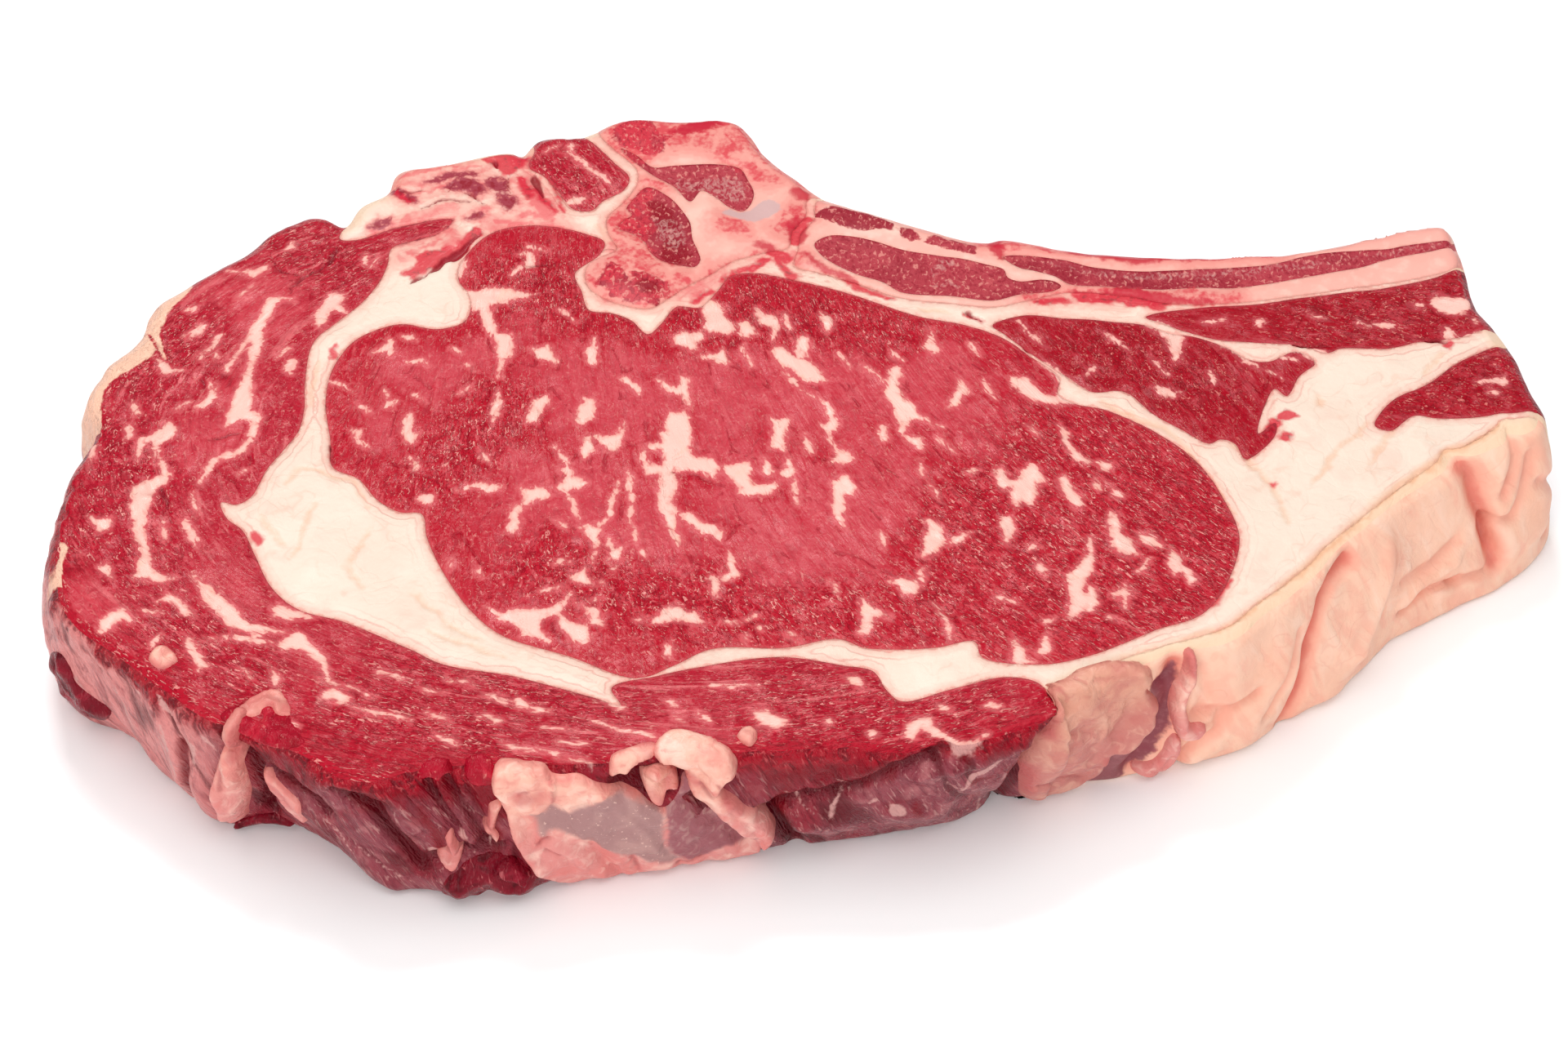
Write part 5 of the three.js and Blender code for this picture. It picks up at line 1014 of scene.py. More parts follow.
# scraps of fat, skin and raw meat pressed onto the wall; the outline is x and height on the front wall,
# and heights past the slice's thickness run on inwards over the cut face
scraps = {
    "front_fat_sheet": {
        "finish": "scrap", "thick": 0.9, "edge": -0.15, "round": 0.7, "lumps": (0.35, 4.0),
        "outline": (-45.9, 30.7, -43.9, 31.1, -40.9, 30.7, -38, 30.2, -37, 29.2, -33, 28.8, -30.5, 27.5,
            -27.9, 25.2, -23.8, 22.5, -19.8, 19.2, -17.4, 21.8, -15.9, 24.2, -13, 22, -11.5, 19, -8.6, 13.2,
            -4.5, 9, -3.4, 4, -4.1, 1, -7, 0.4, -12, 0.4, -20.5, 0.3, -26.5, 0.3, -30.5, 0.4, -37, 1.2,
            -38.5, 3.8, -40.9, 7.2, -42.4, 11.8, -44.3, 16, -45.3, 22.8, -45.8, 24.5, -46.9, 27, -46.6, 29),
        "layers": [(0.7, (-46.9, 27, -46.2, 30.4, -43.9, 31.4, -40.9, 31, -37, 29.8, -36.5, 28.8, -37, 24.2,
            -38.5, 22, -40.9, 21.8, -42.9, 23.2, -44.3, 24.8, -45.3, 25.2)), (0.5, (-37.4, 29.2, -33, 29.2,
            -30.5, 28, -27.2, 25.2, -31, 23.8, -34.5, 22, -34.9, 21, -35.9, 22.8, -37.5, 24.2)),
            (0.35, (-27.9, 25.2, -23.8, 22.9, -19.6, 19.6, -19.6, 13, -21, 8, -28, 9.4, -31, 12, -34, 15.5,
            -34.9, 21, -31, 23.8))],
        "ridges": [(1.1, 2.4, -45.1, 24, -44.6, 22, -43.8, 18.5, -42.7, 14.5, -41.2, 11.2, -39.8, 8),
            (0.9, 3, -44.6, 29.6, -42, 28.8), (0.7, 2, -40.6, 29.8, -37.4, 29.4), (0.6, 1.8, -42.6, 25.4,
            -40, 24), (-0.6, 1, -31.9, 13.8, -30.4, 7, -27, 1), (-0.5, 0.8, -25.3, 7, -23.9, 2.2),
            (-0.4, 0.8, -17.5, 2.5, -14, 3.5), (-0.6, 0.8, -39.5, 14.5, -38, 15.2), (-0.5, 0.9, -39, 12.5,
            -36.4, 11, -34.9, 8), (0.5, 2.2, -36, 5, -30, 3), (0.5, 2.4, -22, 3, -15, 1.6),
            (-0.9, 5, -15, 20, -11, 12, -8, 8), (0.5, 1.6, -37, 13, -34, 10, -33, 6)],
        "film": [(-40.9, 22.4, -38.5, 21.6, -37.5, 23.6, -35.2, 21, -34.5, 21.6, -31, 23.4, -27.9, 24.6,
            -23.8, 22.2, -19.8, 18.8, -19.8, 13.5, -19.3, 8, -16.4, 4.2, -20.4, 4.2, -24.8, 6.8, -28.4, 9,
            -29.9, 10.8, -34.4, 15.2, -37.5, 17.2, -38.5, 15.2, -40, 16, -40.5, 20)],
        "dark": [(-19.2, 19.6, -17.4, 22, -15.9, 24.4, -13, 22, -11, 18, -8.4, 12.4, -5.5, 8.5, -6.5, 5,
            -10.5, 5.2, -13.5, 3.2, -16.4, 4.2, -19.3, 8, -19.2, 13.5)],
        "creases": [(0.5, 0.3, -39.8, 14.3, -38, 15.2), (0.5, 0.3, -25.3, 7, -23.9, 2.2),
            (0.4, 0.3, -17.5, 2.5, -14, 3.5), (0.4, 0.2, -39, 12.5, -36.4, 11), (0.3, 0.2, -42.6, 27,
            -41, 27.2), (0.4, 0.3, -37.2, 27.4, -36.9, 24.4)],
        "redness": [(2.5, 1.5, -42.4, 26.4, -39.6, 25.6)]},
    "front_fat_roll": {
        "finish": "scrap", "thick": 2.4, "edge": -0.2, "round": 1.5, "lumps": (0.9, 2.8),
        "outline": (-21, 30.6, -20.6, 31.8, -19, 33.2, -17.5, 33.7, -15.5, 33.5, -12, 32.3, -9, 30.8,
            -7.5, 28.2, -8, 26.5, -9, 25.8, -10, 23.2, -8.2, 20.5, -6.2, 17.5, -4.3, 15.2, -1.5, 8.8,
            -2, 6.6, -3.7, 4.6, -6, 7.8, -10.3, 13.2, -13.4, 18.6, -14.8, 21, -16.3, 24.5, -17.4, 27,
            -19.8, 29),
        "ridges": [(-0.8, 1.2, -13.4, 24, -11.5, 22.4, -9.6, 23.4), (0.6, 2, -18, 31.6, -12, 30.6),
            (-0.5, 1, -14, 27.4, -11.4, 25.6), (0.6, 1.6, -11.4, 18.4, -7, 11.4), (-0.4, 0.8, -9.4, 20.6,
            -4.4, 11)],
        "creases": [(0.5, 0.3, -13.4, 24, -11.6, 22.6), (0.4, 0.2, -6.6, 8.6, -4.4, 9.6),
            (0.4, 0.3, -10.6, 26, -9.8, 23.6)],
        "redness": [(1, 0.6, -16.4, 25.6, -14, 24), (0.8, 0.6, -9.8, 21.6, -7.6, 17.6)]},
    "left_fat_tag": {
        "finish": "scrap", "thick": 2.6, "edge": -0.3, "round": 1.6, "lumps": (0.7, 2.6),
        "outline": (-90.8, 30.6, -90.6, 32.6, -88.8, 33.2, -88, 31, -88.3, 28, -87.4, 25.2, -87.4, 22,
            -87.8, 17.2, -88.2, 12.6, -89.2, 8, -90, 4.6, -91.4, 4.4, -92.6, 8.2, -93, 13.2, -92.2, 19.6,
            -91.2, 23.8, -90.4, 27),
        "ridges": [(0.9, 1.8, -89, 22, -88.4, 18), (-0.6, 0.8, -90.4, 21, -91, 16), (0.8, 1.8, -91.4, 14,
            -91.4, 8), (-0.7, 1.2, -89.4, 29, -88.8, 26)],
        "creases": [(0.4, 0.3, -90.4, 21, -91, 16)],
        "redness": [(3, 1.6, -89.4, 32, -88, 28, -88.4, 25)]},
    "torn_flap": {
        "finish": "fresh", "thick": 0.35, "edge": -0.5, "round": 2.2, "lumps": (0.6, 2.2),
        "outline": (-92.4, 31, -91, 35, -88, 37.4, -84, 37, -80, 34.6, -78, 31.6, -80.6, 29.6, -85, 28.6,
            -89, 29.4)},
    "pink_flap": {
        "finish": "scrap", "thick": 0.8, "edge": -0.2, "round": 1.2, "lumps": (0.6, 1.8),
        "outline": (-90.4, 32.6, -89.6, 36.4, -87, 39.4, -84.6, 38.2, -82.6, 35.8, -84.8, 34.6, -86.2, 35.4,
            -87.2, 33, -88.8, 31.6),
        "redness": [(3, 2, -89.4, 33, -87.6, 36, -84, 36.6)]},
    "right_fat_flap": {
        "finish": "flap", "thick": 1.9, "edge": -0.2, "round": 1.7, "lumps": (0.35, 4.5),
        "outline": (45.3, 30.4, 46, 30.8, 48.1, 31.4, 50.2, 31.8, 52.5, 31.8, 55.5, 31.2, 58.8, 29.6,
            60, 27.4, 59.1, 25.5, 59.6, 24, 60.7, 22.2, 61.3, 21, 60.6, 19.8, 60.4, 17.5, 59.5, 15.5,
            58.7, 13.4, 57.3, 12, 55.9, 11.2, 54, 11, 53.1, 10, 52.6, 8.8, 53, 6.5, 52, 4.5, 50.5, 2.4,
            48.3, 0.8, 45.8, 0.6, 44, 2.4, 43.2, 6, 42.6, 9.8, 42.1, 11.5, 41.7, 14.8, 42.1, 17.5, 43, 21.8,
            44.2, 24.2, 45, 26, 44.9, 28.4),
        "ridges": [(0.9, 2.2, 60.8, 21, 59.9, 18.5, 59, 15.8, 57.2, 13.4, 55, 12), (-0.8, 2.6, 56.5, 23.5,
            55.2, 20.2, 53.5, 16, 53.1, 13.4), (0.7, 1.6, 47.8, 9.4, 50.5, 10, 52.6, 9.4),
            (-0.6, 1, 44.4, 8.4, 47.1, 6.4, 49.2, 4.6), (0.9, 3, 47.4, 27.6, 50, 23), (0.8, 3, 46.4, 18,
            46.6, 11), (-0.5, 1.4, 46.8, 21.4, 44.8, 22), (0.6, 1.4, 46, 30, 53, 31, 58, 29.4)],
        "creases": [(0.4, 0.2, 44.4, 8.2, 47.1, 6.4, 49.2, 4.6), (0.3, 0.2, 47.8, 8.2, 51, 8.8)],
        "redness": [(0.9, 0.9, 52.2, 10.2, 52.3, 10.3), (1.6, 1, 44.9, 27, 44.2, 23.4), (1.4, 0.8, 42.5, 14,
            43.6, 6)]},
    "fat_finger": {
        "finish": "scrap", "thick": 1.1, "edge": -0.1, "round": 0.8, "lumps": (0.6, 2.2),
        "outline": (-28, 29.2, -27.6, 30.8, -24.5, 31.5, -20.5, 32, -19.8, 30.8, -21, 29.8, -23.5, 28.8,
            -24.5, 27.8, -26.2, 26, -27, 26.4, -28, 28),
        "redness": [(1.4, 0.8, -22, 31.4, -19.8, 31.2)]},
    "cavity_fat": {
        "finish": "scrap", "thick": 3.4, "edge": 0.4, "round": 2.6, "lumps": (0.7, 2.0),
        "outline": (-23, 25, -22.4, 27.2, -20.4, 28.2, -18, 26.8, -16.9, 24.6, -17.2, 22.6, -18.6, 22.8,
            -19.6, 21.2, -21.6, 21.6, -22.7, 23),
        "ridges": [(-1.2, 1.2, -20, 25.4, -19, 24.6)],
        "redness": [(1.5, 1.5, -18.9, 25, -18.8, 24.8), (0.8, 0.6, -21.4, 23.6, -20.4, 22.6)]},
    "rim_fat": {
        "finish": "scrap", "thick": 1.3, "edge": -0.3, "round": 1.3, "lumps": (0.7, 1.5),
        "outline": (-7.4, 32.4, -6.6, 34.2, -5, 34.4, -3.9, 33.2, -4, 31.6, -5, 30.4, -6.6, 30.8),
        "redness": [(0.7, 0.7, -5.6, 32.4, -5.5, 32.4)]},
    "cream_fat_lump": {
        "finish": "scrap", "thick": 1.0, "edge": -0.5, "round": 1.4, "lumps": (0.8, 1.5),
        "outline": (-106.8, 33.2, -106.2, 35.6, -104.6, 36.2, -103, 35.2, -103, 33.4, -103.8, 31.8,
            -105.6, 31.8),
        "redness": [(1.4, 1, -103.2, 34, -103.6, 32.2, -105.4, 31.8)]},
    "fat_worm": {
        "finish": "scrap", "thick": 2.0, "edge": -0.4, "round": 1.35, "lumps": (0.2, 2.6),
        "outline": (65.9, 29.9, 65.4, 27, 64.8, 24.4, 63.9, 21.6, 63.5, 18.3, 63.7, 14.4, 65.2, 11.2,
            67.4, 9.8, 69, 10.1, 69.6, 11.5, 68.9, 12.9, 67.3, 13.4, 66.3, 15.4, 66.2, 18.5, 66.6, 21.8,
            67.6, 24.6, 67.5, 27.2, 67.1, 29.9),
        "creases": [(0.3, 0.3, 64.1, 12.6, 64.2, 12.4)],
        "redness": [(1, 0.8, 66.7, 29.5, 66.6, 26.4)]},
    "fat_stub": {
        "finish": "scrap", "thick": 1.5, "edge": -0.2, "round": 1.3, "lumps": (0.3, 2.6),
        "outline": (64.2, 11.6, 65.7, 10.4, 65.9, 7.2, 65.3, 3.4, 63.6, 0.9, 60.8, 0.7, 58.4, 1.8,
            58.6, 3.2, 60.4, 4, 61.8, 4.6, 62.9, 6.8, 63.6, 9.5),
        "ridges": [(-0.5, 0.8, 61.4, 2.6, 62.6, 1.4), (-0.5, 0.8, 64.4, 6, 63.6, 3)]},
    "pale_strip": {
        "finish": "scrap", "thick": 0.7, "edge": -0.2, "round": 0.8, "lumps": (0.2, 3.0),
        "outline": (-85.6, 20.7, -84.2, 22, -82.6, 20.4, -80.3, 17.9, -78.9, 16.9, -79.1, 12.5, -80.3, 8,
            -81.4, 9.5, -83, 12.2, -83.6, 14.8, -85, 17.5),
        "redness": [(0.6, 0.4, -84, 19, -81, 13)]},
    "small_fat_tag": {
        "finish": "scrap", "thick": 1.4, "edge": -0.2, "round": 1.1, "lumps": (0.3, 2.2),
        "outline": (-56.5, 11.4, -57, 9.6, -54.7, 8.3, -52.4, 12, -53.5, 15.8, -54, 18, -55, 17.4,
            -54.9, 14),
        "redness": [(0.6, 0.5, -54.6, 16.6, -54, 13)]},
    "thin_strip": {
        "finish": "scrap", "thick": 1.2, "edge": -0.2, "round": 0.9, "lumps": (0.3, 2.0),
        "outline": (-45.8, 24, -47.5, 23.4, -47.8, 20, -48.8, 17.8, -48.4, 15.2, -46.8, 13.6, -46.2, 15.2,
            -46.7, 17.2, -46.2, 20, -45.2, 23.5),
        "redness": [(1.2, 0.8, -47.2, 22, -47.8, 17.6)]},
    "foot_flap": {
        "finish": "raw", "thick": 1.8, "edge": 0.6, "round": 0.8, "lumps": (0.4, 2.0),
        "outline": (-47.4, 9.4, -44.8, 10, -43.2, 8.4, -41.6, 6.8, -42.4, 5, -43.8, 6.2, -46.3, 7.4)},
    "foot_lump": {
        "finish": "raw", "thick": 0.8, "edge": -0.5, "round": 3.0, "lumps": (0.8, 2.8),
        "outline": (-57, 1.4, -56.4, 6, -53.6, 9.4, -49, 11, -45, 10.4, -41.6, 7.8, -39, 4.4, -38.4, 1.6,
            -40.5, 0.5, -47, 0.4, -54.6, 0.5)},
    "rim_lump": {
        "finish": "fresh", "thick": 1.0, "edge": -0.4, "round": 1.9, "lumps": (0.5, 2.0),
        "outline": (-51, 29.4, -50.5, 31, -48.5, 31.6, -46.9, 31, -45.8, 29.2, -46.8, 27.3, -48.9, 26.8,
            -50.5, 27.6)},
    "second_rim_lump": {
        "finish": "fresh", "thick": 0.7, "edge": -0.4, "round": 1.6, "lumps": (0.5, 2.0),
        "outline": (-58.4, 29.4, -57.5, 31, -55.5, 31.6, -53.4, 31, -52.9, 29.2, -54.5, 28, -57, 28)},
    "red_foot": {
        "finish": "raw", "thick": 1.4, "edge": -0.2, "round": 1.6, "lumps": (0.5, 2.6),
        "outline": (-92.3, 0.6, -90, 0.4, -86, 0.6, -83.4, 2.2, -86, 4.2, -89.1, 3.8, -91.4, 2.6)},
    "left_lip": {
        "finish": "raw", "thick": 1.0, "edge": -0.4, "round": 2.4, "lumps": (0.6, 2.8),
        "outline": (-119.6, 20, -121, 17, -121.4, 12, -120.6, 8.6, -119.6, 5.6, -117.9, 4.4, -115.4, 6,
            -114.2, 9.6, -115.8, 11.4, -117.4, 13, -118, 15, -118.7, 18)},
}
spotTree = treeOf(spots)


def skinPoint(place, extra):
    # a place on the wall that can run on over the cut face, standing out by extra
    run, high = place.T
    outward = np.stack([alongRim(run, rimOut[:, axis]) for axis in range(2)], 1)
    wall = wallPoint(np.stack([run, np.minimum(high, thickness)], 1), thickness)
    base = wall[:, :2] - outward * np.maximum(high - thickness, 0)[:, None]
    level = height[nearest(base, spotTree)[0]]
    turned = np.clip((high - thickness + 2) / 4, 0, 1) * np.pi / 2
    sideways = outward * (np.cos(turned) * extra)[:, None]
    rise = np.maximum(np.minimum(high, level), 0) + np.sin(turned) * extra
    over = np.maximum(rise - slab["ceiling"], 0)
    return np.column_stack([base + sideways, rise - over + 1.2 * np.tanh(over / 2.4)])


def scrapPiece(name, shape):
    # a scrap: its outline filled with triangles, a rounded front, and a back sunk into the slice
    outline = closedCurve(wallPlace(shape["outline"]), 0.45)
    low, high = outline.min(0), outline.max(0)
    stepX, stepY = slab["scrapGrid"]
    fillX, fillY = np.meshgrid(np.arange(low[0], high[0], stepX), np.arange(low[1], high[1], stepY))
    fillX[1::2] += stepX / 2
    fill = np.stack([fillX.ravel(), fillY.ravel()], 1)
    fill = fill[insideDistance(fill, outline) > 0.2]
    ring = [(index, (index + 1) % len(outline)) for index in range(len(outline))]
    filled = delaunay_2d_cdt([Vector(p) for p in np.vstack([outline, fill]).tolist()], ring, [], 1, 1e-5)
    place = np.array([tuple(v) for v in filled[0]])
    found = np.array([f for f in filled[2] if len(f) == 3])
    found = facingUp(place, found)[0]
    inner = np.maximum(insideDistance(place, outline), 0)
    away = np.clip(inner / shape["round"], 0, 1)
    profile = np.sqrt(np.clip(1 - (1 - away) ** 2, 0, 1))
    extra = shape["edge"] + (shape["thick"] - shape["edge"]) * profile
    for step, layer in shape.get("layers", []):
        within = insideDistance(place, wallOutline(layer))
        extra += step * softStep(-0.15, 0.3, within) * profile
    for rise, width, *path in shape.get("ridges", []):
        extra += rise * np.exp(-2 * (pathDistance(place, wallPlace(path)) / width) ** 2) * profile
    solid = np.column_stack([place, np.zeros(len(place))])
    extra += shape["lumps"][0] * smoothNoise(solid, shape["lumps"][1], 61) * profile
    extra += 0.2 * smoothNoise(solid, 1.4, 62) * profile
    front, back = skinPoint(place, extra), skinPoint(place, np.full(len(place), -slab["scrapBack"]))
    count = len(place)
    walls = [[b, a, a + count, b + count] for a, b in borderOf(found).tolist()]
    quads = found.tolist() + (found[:, ::-1] + count).tolist() + walls
    marks = {key: np.full(count, farOutside) for key in ("film", "dark")}
    for key in marks:
        for zone in shape.get(key, []):
            marks[key] = np.maximum(marks[key], insideDistance(place, wallOutline(zone)))
    for key in ("creases", "redness"):
        marks[key] = strokeField(place, placedStrokes(shape.get(key, [])))
    marks["low"] = np.clip((thickness - place[:, 1]) / thickness, 0, 1)
    marks["inner"] = inner
    values = {key: np.tile(mark, 2) for key, mark in marks.items()}
    return buildMesh(name + "_scrap", np.vstack([front, back]), quads, values)


scrapPieces = {name: scrapPiece(name, shape) for name, shape in scraps.items()}
print("scraps:", sum(len(piece.data.polygons) for piece in scrapPieces.values()), "faces")


# materials
def colour(code):
    # sRGB hex to the linear colour that the shader wants
    parts = [int(code[place:place + 2], 16) / 255 for place in (1, 3, 5)]
    return [p / 12.92 if p <= 0.04045 else ((p + 0.055) / 1.055) ** 2.4 for p in parts] + [1]


def addNode(kind, inputs=None, **settings):
    # one node with its settings; an input is a value or another node's socket
    node = shaderTree.nodes.new("ShaderNode" + kind)
    for name, value in settings.items():
        setattr(node, name, value)
    for name, value in (inputs or {}).items():
        if isinstance(value, bpy.types.NodeSocket):
            shaderTree.links.new(value, node.inputs[name])
        else:
            node.inputs[name].default_value = value
    return node


def newMaterial(name):
    # an empty material; the nodes that are added next go into it
    global shaderTree
    material = bpy.data.materials.new(name)
    material.use_nodes = True
    shaderTree = material.node_tree
    shaderTree.nodes.clear()
    return material


def lumpsOf(place, size, stretch=(1, 1, 1), detail=2.0, warp=0.0, turn=(0, 0, 0), shift=0.0):
    # uneven pattern with lumps of a size in the place's own unit, from 0 to 1
    scale = [1 / (size * share) for share in stretch]
    scaled = addNode("Mapping", {"Vector": place, "Scale": scale, "Rotation": turn, "Location": [shift] * 3})
    inputs = {"Vector": scaled.outputs[0], "Scale": 1.0, "Detail": detail, "Distortion": warp}
    return addNode("TexNoise", inputs).outputs["Fac"]


def between(value, low, high, lowest=0.0, highest=1.0):
    # smooth share of the way of a value from low to high
    inputs = {"Value": value, "From Min": low, "From Max": high, "To Min": lowest, "To Max": highest}
    return addNode("MapRange", inputs, interpolation_type="SMOOTHSTEP").outputs["Result"]


def sumOf(*parts):
    # weighted sum of (socket, weight) pairs and plain numbers
    total = 0.0
    for part in parts:
        one, weight = part if isinstance(part, tuple) else (part, 1.0)
        total = addNode("Math", {0: one, 1: weight, 2: total}, operation="MULTIPLY_ADD").outputs[0]
    return total


def product(one, other):
    return addNode("Math", {0: one, 1: other}, operation="MULTIPLY").outputs[0]


def painted(look, ground, coats):
    # coats over a ground: each ends with its colour, and starts with a share, or with a value, where the
    # coat begins and is full, and the most that it covers
    paint = colour(look[ground])
    for *share, coat in coats:
        if len(share) > 1:
            value, low, high, *most = share
            share = [between(value, low, high, 0, *most)]
        coat = colour(look[coat]) if isinstance(coat, str) else coat
        paint = addNode("Mix", {0: share[0], 6: paint, 7: coat}, data_type="RGBA").outputs[2]
    return paint


def field(name):
    return addNode("Attribute", attribute_name=name).outputs["Fac"]


def finishMaterial(look, paint, relief, roughness):
    # the shader of all the wet surfaces: relief is a height in mm
    bump = addNode("Bump", {"Height": relief, "Distance": mm, "Strength": 1.0})
    shader = addNode("BsdfPrincipled", {
        "Base Color": paint, "Roughness": roughness, "Normal": bump.outputs[0], "IOR": 1.36,
        "Specular IOR Level": look.get("shine", 0.25),
        "Coat Weight": look.get("coat", 0.0), "Coat Roughness": 0.2})
    addNode("OutputMaterial", {"Surface": shader.outputs[0]})


# Raw lean beef, cut across the grain with a wet knife: dusky and smooth where the blade slid, crimson and
# crumbly where it tore, with pale flecks that are partly tissue and partly painted glints, painted shade in
# its pits, fissures and clefts, and marbling whose edges fade into pink
def meatMaterial(name, look):
    material = newMaterial(name)
    place = addNode("TexCoord").outputs["Object"]
    fibrePlace = addNode("Attribute", attribute_name="grain").outputs["Vector"]
    zones = lumpsOf(place, 0.013, detail=4, warp=0.6)
    patches = lumpsOf(place, 0.0042, detail=4, warp=0.9)
    blots = lumpsOf(place, 0.0013, detail=3, warp=1.0)
    fibres = lumpsOf(fibrePlace, 1.0, (1, 3.2, 1), detail=3, warp=1.2)
    streaks = lumpsOf(fibrePlace, 1.5, (1, 8, 1), detail=3, warp=0.7, shift=2.2)
    specks = lumpsOf(fibrePlace, 0.5, (1, 2.1, 1), detail=2, warp=1.3, shift=3.7)
    gaps = lumpsOf(fibrePlace, 0.55, (1, 1.7, 1), detail=2, warp=1.5, shift=8.1)
    ragged = lumpsOf(fibrePlace, 0.9, (1, 1.6, 1), detail=4, warp=0.8, shift=5.3)
    # bundles of fibres 9 mm across and 21 mm long, with fissures between them whose shade is painted dark
    bundled = addNode("Mapping", {"Vector": fibrePlace, "Scale": (1 / 9, 1 / 21, 0.1)}).outputs[0]
    bundles = addNode("TexVoronoi", {"Vector": bundled, "Scale": 1.0}, feature="DISTANCE_TO_EDGE")
    shadedFissure = product(between(sumOf(bundles.outputs["Distance"], (ragged, 0.06)), 0.055, 0.035),
                      between(patches, 0.5, 0.6))
    rough, seam, blood = field("rough"), field("seam"), field("blood")
    rawRim = between(sumOf(field("rim"), (patches, 5.0), -2.5), 3.4, 0.6)
    fatEdge = sumOf(field("fat"), (ragged, 2.0), -1.0)
    beside = between(fatEdge, -3.2, -0.3)
    border = between(seam, 10.0, 1.0)
    deepness = sumOf((zones, 0.8), (patches, 0.22), (fibres, 0.3), (rough, 0.34), (beside, 0.08),
                     (rawRim, 0.1), (border, 0.3), look["deepness"])
    deepShare = between(deepness, 0.6, 0.84)
    coarse = sumOf((rough, 0.7), (deepShare, 0.25), (rawRim, 0.3))
    # pale flecks on the torn crumbs: partly tissue, partly painted glints of light
    fleckAndGlintShare = product(between(specks, 0.58, 0.66), sumOf((coarse, 0.75), 0.22))
    # pits between the torn crumbs, sunk in the relief and painted dark as their shade
    shadedPits = product(between(gaps, 0.46, 0.36), sumOf((coarse, 0.8), 0.1))
    fatShare = between(fatEdge, -0.15, 0.3)
    fat = painted(look, "fat", [
        (fatEdge, 0.9, 0.1, 0.8, "fatEdge"),
        (patches, 0.58, 0.72, 0.3, "fatTan"),
    ])
    paint = painted(look, "lean", [
        (deepShare, "deep"),
        (sumOf((patches, 0.5), (fibres, 0.5)), 0.48, 0.36, 0.6, "pale"),
        (streaks, 0.46, 0.32, look["streaks"], "deep"),
        (streaks, 0.56, 0.7, look["streaks"], "rosy"),
        (blots, 0.56, 0.68, 0.35, "rosy"),
        (blots, 0.44, 0.32, 0.5, "bright"),
        (product(between(fibres, 0.5, 0.32), sumOf((coarse, 0.45), 0.3)), "dark"),
        (product(between(fibres, 0.54, 0.74), sumOf((coarse, 0.35), 0.25)), "rosy"),
        (sumOf((rawRim, 0.6), (blots, 1.4)), 0.95, 1.3, 0.85, "raw"),
        # painted shade in the pits
        (shadedPits, "dark"),
        # painted shade in the fissures
        (product(shadedFissure, 0.4), "dark"),
        # painted glints and pale tissue flecks
        (fleckAndGlintShare, "fleckAndGlint"),
        (sumOf(blood, (blots, 6.0), (streaks, 5.0), -5.5), -1.0, 1.4, 0.75, "raw"),
        (product(between(blood, -1.0, 1.0), between(fibres, 0.52, 0.36, 0, 0.8)), "dark"),
        (seam, 0.8, 0.1, 0.35, "rosy"),
        (fatEdge, -1.1, -0.1, 0.5, "rosy"),
        (fatShare, fat),
        # painted shade in the clefts of the cut face
        (field("crack"), -0.3, 0.4, 0.8, "cleft"),
        (sumOf(field("peach"), (ragged, 1.0), -0.5), -0.15, 0.3, "peach"),
    ])
    lean = between(fatEdge, 0.3, -0.4, 0.25, 1.0)
    grit = sumOf((fibres, 0.1), (fleckAndGlintShare, 0.09), (shadedPits, -0.06), (blots, 0.06))
    relief = sumOf((product(grit, lean), 1.0), (ragged, 0.04), (shadedFissure, -0.1), (streaks, 0.16))
    roughness = between(patches, 0.3, 0.7, look["gloss"] - 0.08, look["gloss"] + 0.08)
    finishMaterial(look, paint, relief, roughness)
    return material


